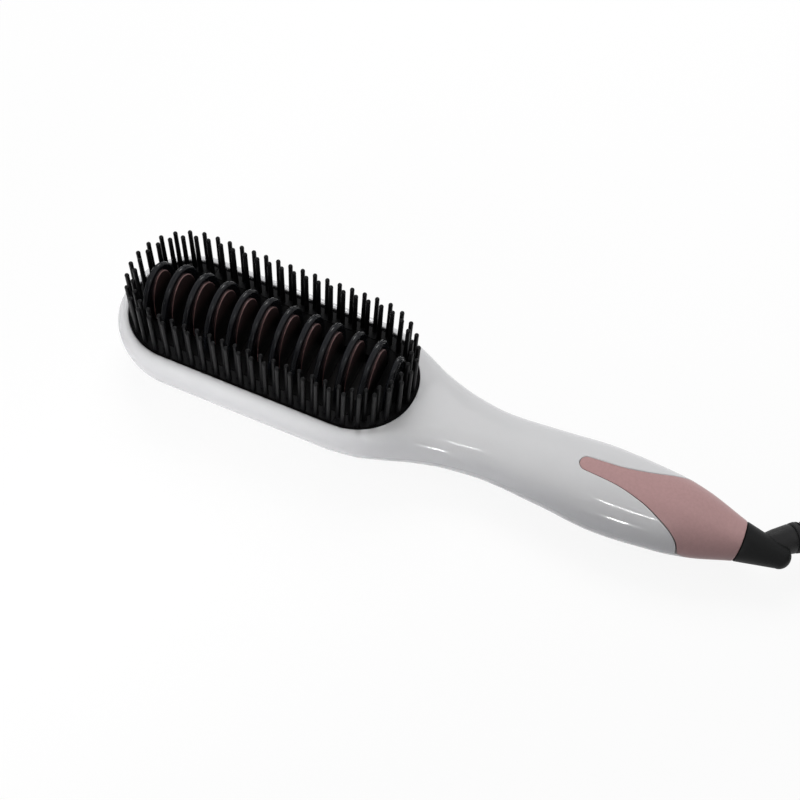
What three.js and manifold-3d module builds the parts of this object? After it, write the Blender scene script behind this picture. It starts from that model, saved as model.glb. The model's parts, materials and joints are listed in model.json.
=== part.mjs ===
// Heated hair straightening brush: a two-shell body with a rose sleeve on the handle, a comb insert with
// nylon pins, heating fins under arched guards, buttons on the back and a cord on a swivel cap.
// Millimetres. X runs from the head to the cord, Z towards the pins, Z = 0 is the surface it lies on.
// Lengths along X are measured from the middle of the head; the last lines centre the whole brush.
import * as THREE from 'three';
import { mergeVertices } from 'three/addons/utils/BufferGeometryUtils.js';
import Module from 'manifold-3d';

const wasm = await Module();
wasm.setup();

// Fits and walls
const GAP = 0.3;
const WALL = 2.0;
const BED = 1.4;

// Head
const HEAD_STRAIGHT = 69.2;
const INSERT_RADIUS = 23;
const RIM_WIDTH = 4.8;
const RIM_LIP = 1.0;
const BODY_HEIGHT = 25.5;
const RIM_ROLL = 5.5;
const BACK_FLAT = 26;

// Neck, grip and end of the handle
const NECK_X = 92;
const NECK_HALF = 13.9;
const NECK_TOP = 24.4;
const NECK_BACK = 2.8;
const GRIP_X = 134;
const GRIP_HALF = 17;
const GRIP_TOP = 26.5;
const WAIST_X = 158;
const WAIST_HALF = 15.4;
const WAIST_TOP = 26.4;
const WAIST_BACK = 1.9;
const HANDLE_END = 185;
const END_RADIUS = 7.7;
const AXIS_Z = 14.1;
const PART_Z = 13.3;

// Rose sleeve: a tongue on top, and a ring whose edge slants from RING_TOP_X at the joint to RING_X below
const RING_X = 170.7;
const RING_TOP_X = 166.6;
const SLANT_DEPTH = 4.8;
const TONGUE_X = 122;
const TONGUE_NOSE = 2.7;

// Comb insert
const COMB_TOP = 24.7;
const COMB_THICK = 3;
const LEDGE_WIDTH = 2;
const LEDGE_THICK = 2;
const ROW_RADIUS = 21.2;
const ROW_STEP = 2.35;
const SIDE_PINS = 14;
const SIDE_MARGIN = 2.1;
const ARC_PINS = 12;
const PIN_RADIUS = 0.98;
const PIN_TIP_RADIUS = 0.86;
const PIN_TOP = 45.8;
const STRIP_THICK = 1.2;
const STRIP_MARGIN = 1.35;

// Heating fins and guard arches
const ARCH_COUNT = 12;
const ARCH_PITCH = 8.8;
const ARCH_SHIFT = 0.9;
const ARCH_THICK = 2.4;
const ARCH_ROUND = 0.7;
const ARCH_HALF = 13.8;
const ARCH_TOP = 44.6;
const ARCH_BASE = 25.5;
const FIRST_ARCH_HALF = 11.4;
const LAST_ARCH_HALF = 9.2;
const END_ARCH_TOP = 43.2;
const FIN_LEDGE = 0.8;
const FIN_HALF = 9.7;
const FIN_TOP = 42.7;
const END_FIN_HALF = 7.4;
const END_FIN_TOP = 41.3;
const WEB_THICK = 1.2;

// Heater stack under the comb
const PLATE_THICK = 2;
const PLATE_HALF = 12;
const HEATER_THICK = 2.5;
const HEATER_LENGTH = 70;
const HEATER_HALF = 8;
const CLAMP_THICK = 1.5;
const CLAMP_HALF = 8;
const CLAMP_POST_X = 53.1;
const CLAMP_POST_RADIUS = 2.1;
const FUSE_RADIUS = 1.8;
const FUSE_LENGTH = 12;
const SCREW_RADIUS = 1.1;
const SCREW_HEAD_RADIUS = 2.4;
const SCREW_HEAD_HEIGHT = 1.5;

// Case screws: a lug on the front shell over a boss on the back shell
const CASE_SCREW_X = 20;
const CASE_SCREW_Y = 17;
const LUG_Z = 16.9;
const LUG_THICK = 2;
const BOSS_RADIUS = 3.2;

// Back of the neck: a panel as long as its window, buttons and the spaces between them; switches and board
const PANEL_START = 75;
const PANEL_MARGIN = 3;
const PANEL_HALF = 6.5;
const PANEL_THICK = 1.2;
const PANEL_FLOOR = 1.5;
const PAD_MARGIN = 2;
const WINDOW_LENGTH = 12.4;
const WINDOW_HALF = 3.7;
const WINDOW_THICK = 1.0;
const WINDOW_SPACE = 4.5;
const SMALL_BUTTON_RADIUS = 3.1;
const POWER_BUTTON_RADIUS = 4.0;
const BUTTON_SPACE = 2.3;
const BUTTON_PROUD = 0.9;
const BUTTON_TRAVEL = 0.6;
const BUTTON_FLANGE = 0.8;
const STEM_RADIUS = 1.2;
const STEM_LENGTH = 2.3;
const SWITCH_SIZE = 6;
const SWITCH_HEIGHT = 4;
const BOARD_OVERHANG = 4;
const BOARD_HALF = 9.2;
const BOARD_THICK = 1.6;
const REST_WIDTH = 3;
const LEAD_RADIUS = 0.9;
const MAINS_LEAD_RADIUS = 1.8;

// Swivel, boot and cord
const CAP_LENGTH = 19.6;
const CAP_NOSE_RADIUS = 4.5;
const SPIGOT_RADIUS = 3.8;
const SOCKET_LENGTH = 10.5;
const SOCKET_RADIUS = 5.3;
const SWIVEL_FLANGE_RADIUS = 5.2;
const SWIVEL_FLANGE_THICK = 2.6;
const BOOT_ROOT_X = 190.8;
const BOOT_ANGLE = 36.87;
const BOOT_RADIUS = 4.1;
const BOOT_SHOULDER_RADIUS = 5.4;
const BOOT_LENGTH = 46;
const BOOT_RIBS = 6;
const CORD_RADIUS = 2.6;
const COIL_RADIUS = 35;
const COIL_PITCH = 6.3;
const COIL_LAYERS = 4;
const COIL_WHOLE_TURNS = 9;
const TAIL_RADIUS = 24;
const RUN_TO_COIL = 46;
const TIE_THICK = 0.8;
const TIE_WIDTH = 10;
const TIE_ANGLE = 190;
const PLUG_HALF_WIDTH = 11;
const PLUG_HALF_HEIGHT = 7;
const PLUG_LENGTH = 36;
const BLADE_SPACING = 12.7;
const BLADE_WIDTH = 6.3;
const BLADE_THICK = 1.5;
const BLADE_LENGTH = 17;

// Levels that follow from the sizes above
const HEAD_HALF = HEAD_STRAIGHT / 2;
const HEAD_RADIUS = INSERT_RADIUS + RIM_WIDTH;
const COMB_BOTTOM = COMB_TOP - COMB_THICK;
const LEDGE_TOP = COMB_BOTTOM - GAP;
const PLATE_TOP = COMB_BOTTOM - GAP;
const PLATE_BOTTOM = PLATE_TOP - PLATE_THICK;
const HEATER_TOP = PLATE_BOTTOM - GAP;
const HEATER_BOTTOM = HEATER_TOP - HEATER_THICK;
const CLAMP_TOP = HEATER_BOTTOM - GAP;
const CLAMP_BOTTOM = CLAMP_TOP - CLAMP_THICK;
const PANEL_FACE = NECK_BACK + 0.1;
const PANEL_TOP = PANEL_FACE + PANEL_THICK;
const PANEL_BED = PANEL_TOP + GAP;
const PAD_TOP = PANEL_BED + PANEL_FLOOR;
const FLANGE_BOTTOM = PAD_TOP + GAP;
const FLANGE_TOP = FLANGE_BOTTOM + BUTTON_FLANGE;
const SWITCH_BOTTOM = FLANGE_TOP + BUTTON_TRAVEL + GAP;
const SWITCH_TOP = SWITCH_BOTTOM + SWITCH_HEIGHT;
const BOARD_BOTTOM = SWITCH_TOP + GAP;
const BOARD_TOP = BOARD_BOTTOM + BOARD_THICK;
const FIN_THICK = ARCH_THICK + FIN_LEDGE;
const NOSE_X = HANDLE_END + CAP_LENGTH;
const TIP_X = -HEAD_HALF - HEAD_RADIUS;
const FAR = 400;

// Places along the panel that follow from the sizes above
const FLANGE_STEP = (BUTTON_SPACE - GAP) / 2;
const WINDOW_START = PANEL_START + PANEL_MARGIN;
const WINDOW_END = WINDOW_START + WINDOW_LENGTH;
const PLUS_X = WINDOW_END + WINDOW_SPACE + SMALL_BUTTON_RADIUS;
const MINUS_X = PLUS_X + 2 * SMALL_BUTTON_RADIUS + BUTTON_SPACE;
const POWER_X = MINUS_X + SMALL_BUTTON_RADIUS + BUTTON_SPACE + POWER_BUTTON_RADIUS;
const PANEL_END = POWER_X + POWER_BUTTON_RADIUS + PANEL_MARGIN;
const BOARD_START = PANEL_START - BOARD_OVERHANG;
const BOARD_END = PANEL_END + BOARD_OVERHANG;
const BUTTONS = [
  { name: 'plus', x: PLUS_X, radius: SMALL_BUTTON_RADIUS },
  { name: 'minus', x: MINUS_X, radius: SMALL_BUTTON_RADIUS },
  { name: 'power', x: POWER_X, radius: POWER_BUTTON_RADIUS },
];

// Colours from the photograph
const LOOKS = {
  white: { color: 0xd9d9dc, roughness: 0.22, metalness: 0 },
  rose: { color: 0xa88783, roughness: 0.35, metalness: 0.3 },
  black: { color: 0x232425, roughness: 0.55, metalness: 0 },
  nylon: { color: 0x161818, roughness: 0.45, metalness: 0 },
  fin: { color: 0x6b4a45, roughness: 0.25, metalness: 0.6 },
  metal: { color: 0xb9bbbd, roughness: 0.35, metalness: 1 },
  ceramic: { color: 0xe8e4da, roughness: 0.8, metalness: 0 },
  board: { color: 0x2c5a37, roughness: 0.6, metalness: 0 },
  glass: { color: 0x101214, roughness: 0.08, metalness: 0 },
  wire: { color: 0xb04030, roughness: 0.5, metalness: 0 },
  panel: { color: 0xc9c9cc, roughness: 0.3, metalness: 0 },
  plate: { color: 0x2a1f1c, roughness: 0.3, metalness: 0.3 },
};

const brush = new THREE.Group();

function addPiece(name, look, geometry, parent = brush) {
  geometry.computeVertexNormals();
  const mesh = new THREE.Mesh(geometry, new THREE.MeshStandardMaterial(LOOKS[look]));
  mesh.name = name;
  parent.add(mesh);
  return mesh;
}

// Booleans: a closed geometry becomes a solid and comes back as a geometry
function solid(geometry) {
  const bare = new THREE.BufferGeometry();
  bare.setAttribute('position', geometry.getAttribute('position'));
  if (geometry.index) bare.setIndex(geometry.index);
  const merged = mergeVertices(bare, 1e-4);
  const triangles = [];
  const index = merged.index.array;
  for (let i = 0; i < index.length; i += 3) {
    const [a, b, c] = [index[i], index[i + 1], index[i + 2]];
    if (a !== b && b !== c && c !== a) triangles.push(a, b, c);
  }
  return new wasm.Manifold(new wasm.Mesh({
    numProp: 3,
    vertProperties: new Float32Array(merged.getAttribute('position').array),
    triVerts: new Uint32Array(triangles),
  }));
}

function geometryOf(manifold) {
  const mesh = manifold.getMesh();
  const geometry = new THREE.BufferGeometry();
  geometry.setAttribute('position', new THREE.BufferAttribute(new Float32Array(mesh.vertProperties), 3));
  geometry.setIndex(new THREE.BufferAttribute(new Uint32Array(mesh.triVerts), 1));
  return geometry;
}

// A box between two corners
function box(x0, x1, y0, y1, z0, z1) {
  return new THREE.BoxGeometry(x1 - x0, y1 - y0, z1 - z0)
    .translate((x0 + x1) / 2, (y0 + y1) / 2, (z0 + z1) / 2);
}

// A round bar standing on (x, y) from z0 to z1
function post(x, y, radius, z0, z1, sides = 16) {
  return new THREE.CylinderGeometry(radius, radius, z1 - z0, sides).rotateX(Math.PI / 2)
    .translate(x, y, (z0 + z1) / 2);
}

// A plan outline raised from z0 to z1
function prism(shape, z0, z1, curveSegments = 10) {
  return new THREE.ExtrudeGeometry(shape, { depth: z1 - z0, bevelEnabled: false, curveSegments })
    .translate(0, 0, z0);
}

// A stadium in plan: half the straight length, and the radius of its ends
function stadium(half, radius) {
  const shape = new THREE.Shape();
  shape.absarc(half, 0, radius, -Math.PI / 2, Math.PI / 2, false);
  shape.absarc(-half, 0, radius, Math.PI / 2, 1.5 * Math.PI, false);
  return shape;
}

// A smooth value through a few [x, value] pairs, level where the pairs are level
function through(pairs) {
  const secant = i => (pairs[i + 1][1] - pairs[i][1]) / (pairs[i + 1][0] - pairs[i][0]);
  const slopes = pairs.map((pair, i) => {
    if (i === 0 || i === pairs.length - 1) return i === 0 ? secant(0) : secant(i - 1);
    const [before, after] = [secant(i - 1), secant(i)];
    return before * after <= 0 ? 0 : 2 * before * after / (before + after);
  });
  return x => {
    if (x <= pairs[0][0]) return pairs[0][1];
    const last = pairs.length - 1;
    if (x >= pairs[last][0]) return pairs[last][1];
    const i = pairs.findIndex((pair, k) => k < last && x < pairs[k + 1][0]);
    const span = pairs[i + 1][0] - pairs[i][0];
    const t = (x - pairs[i][0]) / span;
    return pairs[i][1] * (1 + 2 * t) * (1 - t) ** 2 + pairs[i + 1][1] * t * t * (3 - 2 * t)
      + slopes[i] * span * t * (1 - t) ** 2 - slopes[i + 1] * span * t * t * (1 - t);
  };
}

const mix = THREE.MathUtils.lerp;

// Pairs that go from (x0, v0) to (x1, v1) by [share of the way, share of the change] steps
function easing(x0, v0, x1, v1, steps) {
  return [[0, 0], ...steps, [1, 1]].map(([along, change]) => [mix(x0, x1, along), mix(v0, v1, change)]);
}

// The body's outline: half width, top line, widest level, back line, and how far the top and back stay flat
const RIDGE = 0.6;
const PANEL_BED_HALF = 4;
const PANEL_BED_START = PANEL_START + 5;
const PANEL_BED_END = PANEL_END - 5;
const bodyHalf = through([
  ...easing(HEAD_HALF, HEAD_RADIUS, NECK_X, NECK_HALF,
    [[0.175, 0.1], [0.355, 0.36], [0.547, 0.67], [0.756, 0.885]]),
  ...easing(NECK_X, NECK_HALF, GRIP_X, GRIP_HALF, [[0.48, 0.42]]).slice(1),
  ...easing(WAIST_X, WAIST_HALF, HANDLE_END, END_RADIUS, [[0.42, 0.286]]),
]);
const bodyTop = through([[mix(HEAD_HALF, NECK_X, 0.44), BODY_HEIGHT], [NECK_X, NECK_TOP], [GRIP_X, GRIP_TOP],
  [WAIST_X, WAIST_TOP], [HANDLE_END, AXIS_Z + END_RADIUS]]);
const bodyMid = through([...easing(HEAD_HALF, BODY_HEIGHT - RIM_ROLL, NECK_X, PART_Z, [[0.58, 0.75]]),
  [GRIP_X, PART_Z], [WAIST_X, AXIS_Z], [HANDLE_END, AXIS_Z]]);
const bodyBack = through([...easing(HEAD_HALF, 0, PANEL_BED_START, NECK_BACK, [[0.69, 0.54]]),
  [PANEL_BED_END, NECK_BACK], [GRIP_X, 0], [mix(GRIP_X, WAIST_X, 0.17), 0], [WAIST_X, WAIST_BACK],
  [HANDLE_END, AXIS_Z - END_RADIUS]]);
const flatTop = through(easing(HEAD_HALF, INSERT_RADIUS + RIM_LIP, NECK_X, RIDGE,
  [[0.175, 0.06], [0.355, 0.32], [0.547, 0.68], [0.791, 0.94]]));
const flatBack = through([
  ...easing(HEAD_HALF, BACK_FLAT / 2, PANEL_BED_START, PANEL_BED_HALF, [[0.56, 0.78]]),
  [PANEL_BED_END, PANEL_BED_HALF], [GRIP_X, RIDGE],
]);

// Half a cross-section from the middle of the top to the middle of the back, set in by inset
function halfSection(x, inset) {
  const points = [];
  const quarter = inset > WALL / 2 ? 4 : 6;
  const [half, top, mid, back] = [bodyHalf(x), bodyTop(x), bodyMid(x), bodyBack(x)];
  const [flatA, flatB] = [Math.min(flatTop(x), half - 3), Math.min(flatBack(x), half - 3)];
  points.push([0, top - inset]);
  for (let i = 0; i <= quarter; i++) {
    const angle = (i / quarter) * Math.PI / 2;
    const rise = (top - inset - mid) * Math.cos(angle);
    points.push([flatA + (half - inset - flatA) * Math.sin(angle), mid + rise]);
  }
  for (let i = 1; i <= quarter; i++) {
    const angle = (i / quarter) * Math.PI / 2;
    const drop = (mid - back - inset) * Math.sin(angle);
    points.push([flatB + (half - inset - flatB) * Math.cos(angle), mid - drop]);
  }
  points.push([0, back + inset]);
  return points;
}

// The body as one closed skin: down one side, round the tip of the head and up the other side
function parts(from, to, count) {
  return Array.from({ length: count }, (unused, i) => mix(from, to, (i + 1) / count));
}
const SECTIONS = [...parts(HEAD_HALF, NECK_X, 8), ...parts(NECK_X, GRIP_X, 3), ...parts(GRIP_X, WAIST_X, 2),
  ...parts(WAIST_X, RING_X, 2), ...parts(RING_X, HANDLE_END, 3)];
function bodySolid(inset, endX = HANDLE_END) {
  const rings = [];
  const side = (x, sign) => halfSection(x, inset).map(([y, z]) => [x, sign * y, z]);
  const stations = [HEAD_HALF, ...SECTIONS.filter(x => x < endX), endX];
  [...stations].reverse().forEach(x => rings.push(side(x, 1)));
  const turns = 12;
  for (let i = 0; i <= turns; i++) {
    const angle = Math.PI / 2 + (i / turns) * Math.PI;
    rings.push(halfSection(HEAD_HALF, inset).map(([r, z]) =>
      [-HEAD_HALF + r * Math.cos(angle), r * Math.sin(angle), z]));
  }
  stations.forEach(x => rings.push(side(x, -1)));
  const positions = rings.flat(2);
  const size = rings[0].length;
  const index = [];
  for (let r = 0; r + 1 < rings.length; r++) {
    for (let j = 0; j + 1 < size; j++) {
      const [a, b, c, d] = [r * size + j, r * size + j + 1, (r + 1) * size + j, (r + 1) * size + j + 1];
      index.push(a, b, c, b, d, c);
    }
  }
  const last = (rings.length - 1) * size;
  for (let j = 0; j + 1 < size; j++) {
    index.push(j, last + j, j + 1, j + 1, last + j, last + j + 1);
  }
  const geometry = new THREE.BufferGeometry();
  geometry.setAttribute('position', new THREE.Float32BufferAttribute(positions, 3));
  geometry.setIndex(index);
  return solid(geometry);
}

// A side view outline of [x, z] points made thick across Y
function acrossY(points) {
  const shape = new THREE.Shape(points.map(([x, z]) => new THREE.Vector2(x, -z)));
  return new THREE.ExtrudeGeometry(shape, { depth: FAR, bevelEnabled: false }).translate(0, 0, -FAR / 2)
    .rotateX(-Math.PI / 2);
}

// The sleeve's region, grown by margin: the tongue in plan above the joint, the slanting ring below it
function sleeveRegion(margin) {
  const start = TONGUE_X + 2 * TONGUE_NOSE;
  const end = RING_TOP_X - 0.6;
  const spread = bodyHalf(end) + 0.6;
  const edge = through(easing(start, TONGUE_NOSE + 0.2, end, spread,
    [[0.22, 0.06], [0.51, 0.28], [0.73, 0.57], [0.89, 0.8]]));
  const shape = new THREE.Shape();
  shape.absarc(TONGUE_X + TONGUE_NOSE, 0, TONGUE_NOSE + margin, Math.PI / 2, 1.5 * Math.PI, false);
  const steps = [start, ...parts(start, end, 9)];
  steps.forEach(x => shape.lineTo(x - margin, -edge(x) - margin));
  shape.lineTo(FAR, -spread - margin);
  shape.lineTo(FAR, spread + margin);
  [...steps].reverse().forEach(x => shape.lineTo(x - margin, edge(x) + margin));
  const upper = solid(prism(shape, PART_Z, FAR, 6));
  const shift = margin / Math.cos(Math.atan2(RING_X - RING_TOP_X, SLANT_DEPTH));
  const ring = solid(acrossY([[RING_X - shift, -FAR], [FAR, -FAR], [FAR, FAR], [RING_TOP_X - shift, FAR],
    [RING_TOP_X - shift, PART_Z], [RING_X - shift, PART_Z - SLANT_DEPTH]]));
  return upper.add(ring);
}

const above = z => solid(box(-FAR, FAR, -FAR, FAR, z, FAR));
const below = z => solid(box(-FAR, FAR, -FAR, FAR, -FAR, z));
const slab = (x0, x1) => solid(box(x0, x1, -FAR, FAR, -FAR, FAR));

const outer = bodySolid(0);
const grown = bodySolid(-1, HANDLE_END + 1);
const hollow = bodySolid(WALL, HANDLE_END + 1);
const underWall = bodySolid(WALL - 0.5, HANDLE_END + 1);
const bedOuter = bodySolid(WALL + GAP, HANDLE_END + 1);
const bedInner = bodySolid(WALL + GAP + BED, HANDLE_END + 1);
const skin = outer.subtract(hollow);
const sleeveCut = sleeveRegion(GAP).intersect(grown).subtract(bedOuter);
const bed = underWall.subtract(bedInner);
const BED_END = HANDLE_END - SOCKET_LENGTH - SWIVEL_FLANGE_THICK - 1;

// Front shell: rim and pocket for the comb, ledge under it, two screw lugs, a bed under the tongue
function frontShell() {
  const tongueBed = bed.intersect(slab(TONGUE_X - 4, BED_END));
  const ledge = solid(prism(stadium(HEAD_HALF, HEAD_RADIUS - 1), LEDGE_TOP - LEDGE_THICK, LEDGE_TOP, 10))
    .intersect(underWall);
  let shell = skin.add(tongueBed).add(ledge);
  for (const sign of [1, -1]) {
    const lug = solid(box(-CASE_SCREW_X * sign - 4, -CASE_SCREW_X * sign + 4,
      sign > 0 ? CASE_SCREW_Y - 3.5 : -HEAD_RADIUS, sign > 0 ? HEAD_RADIUS : 3.5 - CASE_SCREW_Y,
      LUG_Z, LUG_Z + LUG_THICK)).intersect(underWall);
    shell = shell.add(lug);
  }
  shell = shell.intersect(above(PART_Z + GAP / 2));
  const pocket = prism(stadium(HEAD_HALF, INSERT_RADIUS + GAP), LEDGE_TOP, FAR, 12);
  const throat = prism(stadium(HEAD_HALF, INSERT_RADIUS - LEDGE_WIDTH), LEDGE_TOP - LEDGE_THICK - 1, FAR, 10);
  shell = shell.subtract(solid(pocket)).subtract(solid(throat));
  for (const sign of [1, -1]) {
    const bore = post(-CASE_SCREW_X * sign, CASE_SCREW_Y * sign, SCREW_RADIUS + GAP, 0, FAR, 10);
    shell = shell.subtract(solid(bore));
  }
  return shell.subtract(sleeveCut);
}

// Back shell: screw bosses, the panel's recess and its floor, board rests, and a spigot for the sleeve
function backShell() {
  let shell = skin.add(bed.intersect(slab(RING_TOP_X - 4, BED_END)));
  for (const sign of [1, -1]) {
    const boss = solid(post(-CASE_SCREW_X * sign, CASE_SCREW_Y * sign, BOSS_RADIUS, 0, LUG_Z - GAP, 14));
    shell = shell.add(boss.intersect(underWall));
  }
  const bosses = [1, -1].map(sign =>
    solid(post(-CASE_SCREW_X * sign, CASE_SCREW_Y * sign, BOSS_RADIUS, PART_Z - 1, LUG_Z - GAP, 14)));
  const pad = solid(box(PANEL_START - PAD_MARGIN, PANEL_END + PAD_MARGIN, -PANEL_HALF - PAD_MARGIN,
    PANEL_HALF + PAD_MARGIN, 0, PAD_TOP));
  shell = shell.add(pad.intersect(underWall));
  for (const x of [BOARD_START + 1, BOARD_END - 1 - REST_WIDTH]) {
    shell = shell.add(solid(box(x, x + REST_WIDTH, -BOARD_HALF, BOARD_HALF, 0, BOARD_BOTTOM - GAP))
      .intersect(underWall));
  }
  shell = shell.intersect(below(PART_Z - GAP / 2));
  bosses.forEach(boss => { shell = shell.add(boss); });
  for (const sign of [1, -1]) {
    const bore = post(-CASE_SCREW_X * sign, CASE_SCREW_Y * sign, SCREW_RADIUS + GAP, LUG_Z - 10, FAR, 10);
    shell = shell.subtract(solid(bore));
  }
  const recess = box(PANEL_START - GAP, PANEL_END + GAP, -PANEL_HALF - GAP, PANEL_HALF + GAP, -1, PANEL_BED);
  shell = shell.subtract(solid(recess));
  for (const { x, radius } of BUTTONS) {
    shell = shell.subtract(solid(post(x, 0, radius + GAP, -1, PAD_TOP + 1, 16)));
  }
  const [windowEdge, windowSide] = [1, 0.6];
  const view = box(WINDOW_START + windowEdge, WINDOW_END - windowEdge, -WINDOW_HALF + windowSide,
    WINDOW_HALF - windowSide, -1, PAD_TOP + 1);
  return shell.subtract(solid(view)).subtract(sleeveCut);
}

function buildBody() {
  addPiece('front_shell', 'white', geometryOf(frontShell()));
  addPiece('back_shell', 'white', geometryOf(backShell()));
  addPiece('handle_sleeve', 'rose', geometryOf(skin.intersect(sleeveRegion(0))));
}

// Where each arch stands, and its half width and top
const ARCHES = Array.from({ length: ARCH_COUNT }, (unused, i) => {
  const last = i === ARCH_COUNT - 1;
  const end = i === 0 || last;
  return {
    x: ARCH_SHIFT + (i - (ARCH_COUNT - 1) / 2) * ARCH_PITCH,
    half: last ? LAST_ARCH_HALF : i === 0 ? FIRST_ARCH_HALF : ARCH_HALF,
    top: end ? END_ARCH_TOP : ARCH_TOP,
    finHalf: end ? END_FIN_HALF : FIN_HALF,
    finTop: end ? END_FIN_TOP : FIN_TOP,
    hasFin: !last,
  };
});
const FINS = ARCHES.filter(arch => arch.hasFin);
const finMiddle = arch => arch.x + FIN_LEDGE / 2;
const FIN_START = finMiddle(FINS[0]) - FIN_THICK / 2;
const FIN_END = finMiddle(FINS[FINS.length - 1]) + FIN_THICK / 2;

// Comb base: a stadium plate, grooved for the pin strips, open in the middle for the fins, with clamp posts
const GROOVE_INNER = ROW_RADIUS - ROW_STEP - STRIP_MARGIN - GAP;
const GROOVE_OUTER = ROW_RADIUS + STRIP_MARGIN;
const GROOVE_FLOOR = COMB_TOP - STRIP_THICK - GAP;
function combBase() {
  let base = solid(prism(stadium(HEAD_HALF, INSERT_RADIUS), COMB_BOTTOM, COMB_TOP, 12));
  const groove = solid(prism(stadium(HEAD_HALF, GROOVE_OUTER), GROOVE_FLOOR, FAR, 12))
    .subtract(solid(prism(stadium(HEAD_HALF, GROOVE_INNER), GROOVE_FLOOR - 1, FAR, 12)));
  base = base.subtract(groove);
  const wideStart = FIN_START + FIN_THICK + 1;
  base = base.subtract(solid(box(wideStart, FIN_END + GAP, -FIN_HALF - GAP, FIN_HALF + GAP, 0, FAR)));
  const narrow = box(FIN_START - GAP, wideStart + 1, -END_FIN_HALF - GAP, END_FIN_HALF + GAP, 0, FAR);
  base = base.subtract(solid(narrow));
  for (const sign of [1, -1]) {
    const x = sign * CLAMP_POST_X;
    base = base.add(solid(post(x, 0, CLAMP_POST_RADIUS, CLAMP_TOP + GAP, COMB_BOTTOM + 0.5, 12)));
    base = base.subtract(solid(post(x, 0, SCREW_RADIUS + 0.1, CLAMP_TOP, COMB_BOTTOM - 1.5, 10)));
  }
  return base;
}

// Pins stand in two rows along the stadium, the inner row's pins between those of the outer row
const PERIMETER = 4 * HEAD_HALF + 2 * Math.PI * ROW_RADIUS;
const SIDE_END = HEAD_HALF - SIDE_MARGIN;
const SIDE_STEP = 2 * SIDE_END / (SIDE_PINS - 1);
const ARC_STEP = (PERIMETER / 2 - 2 * SIDE_END) / (ARC_PINS + 1);
const OUTER_ROW = [...parts(-SIDE_END - SIDE_STEP, SIDE_END, SIDE_PINS),
  ...parts(SIDE_END, SIDE_END + ARC_PINS * ARC_STEP, ARC_PINS)];
const INNER_ROW = [...parts(-SIDE_END - SIDE_STEP / 2, SIDE_END - SIDE_STEP / 2, SIDE_PINS - 1),
  ...parts(SIDE_END - ARC_STEP / 2, SIDE_END + (ARC_PINS + 0.5) * ARC_STEP, ARC_PINS + 1)];
function stadiumPoint(along, radius) {
  const arc = Math.PI * ROW_RADIUS;
  const s = ((along % PERIMETER) + PERIMETER) % PERIMETER;
  if (s < HEAD_HALF) return [s, -radius];
  if (s < HEAD_HALF + arc) {
    const angle = (s - HEAD_HALF) / ROW_RADIUS - Math.PI / 2;
    return [HEAD_HALF + radius * Math.cos(angle), radius * Math.sin(angle)];
  }
  if (s < 3 * HEAD_HALF + arc) return [2 * HEAD_HALF + arc - s, radius];
  if (s < 3 * HEAD_HALF + 2 * arc) {
    const angle = (s - 3 * HEAD_HALF - arc) / ROW_RADIUS + Math.PI / 2;
    return [-HEAD_HALF + radius * Math.cos(angle), radius * Math.sin(angle)];
  }
  return [s - PERIMETER, -radius];
}

function pin(x, y) {
  const foot = COMB_TOP - 0.4;
  const profile = [[0, foot], [PIN_RADIUS, foot], [PIN_TIP_RADIUS, PIN_TOP - PIN_TIP_RADIUS / 2],
    [0, PIN_TOP]];
  const points = profile.map(([r, z]) => new THREE.Vector2(r, z));
  return solid(new THREE.LatheGeometry(points, 6).rotateX(Math.PI / 2).translate(x, y, 0));
}

// One strip of backing inside a plan region, with the pins whose feet fall in it
function pinStrip(region, holds) {
  let strip = solid(prism(stadium(HEAD_HALF, GROOVE_OUTER - GAP), COMB_TOP - STRIP_THICK, COMB_TOP, 12))
    .subtract(solid(prism(stadium(HEAD_HALF, GROOVE_INNER + GAP), COMB_TOP - STRIP_THICK - 1, FAR, 12)))
    .intersect(solid(region));
  const pins = [0, PERIMETER / 2].flatMap(shift => [
    ...OUTER_ROW.map(along => stadiumPoint(along + shift, ROW_RADIUS)),
    ...INNER_ROW.map(along => stadiumPoint(along + shift, ROW_RADIUS - ROW_STEP)),
  ]);
  pins.filter(([x, y]) => holds(x, y)).forEach(([x, y]) => { strip = strip.add(pin(x, y)); });
  return strip;
}

function buildComb() {
  addPiece('comb_base', 'black', geometryOf(combBase()));
  const cut = HEAD_HALF - GAP;
  const straight = (y0, y1) => box(-cut + GAP / 2, cut - GAP / 2, y0, y1, 0, FAR);
  const inStraight = x => Math.abs(x) < cut - GAP;
  addPiece('pin_strip_right', 'nylon',
    geometryOf(pinStrip(straight(-FAR, 0), (x, y) => inStraight(x) && y < 0)));
  addPiece('pin_strip_left', 'nylon',
    geometryOf(pinStrip(straight(0, FAR), (x, y) => inStraight(x) && y > 0)));
  addPiece('pin_strip_tip', 'nylon', geometryOf(pinStrip(box(-FAR, -cut - GAP / 2, -FAR, FAR, 0, FAR),
    x => !inStraight(x) && x < 0)));
  addPiece('pin_strip_neck', 'nylon', geometryOf(pinStrip(box(cut + GAP / 2, FAR, -FAR, FAR, 0, FAR),
    x => !inStraight(x) && x > 0)));
}

// A half ellipse standing on legs, in the YZ plane
function archShape(half, top, foot, steps = 14) {
  const shape = new THREE.Shape();
  shape.moveTo(-half, foot);
  for (let i = 0; i <= steps; i++) {
    const angle = Math.PI - (i / steps) * Math.PI;
    shape.lineTo(half * Math.cos(angle), ARCH_BASE + (top - ARCH_BASE) * Math.sin(angle));
  }
  shape.lineTo(half, foot);
  return shape;
}

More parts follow.
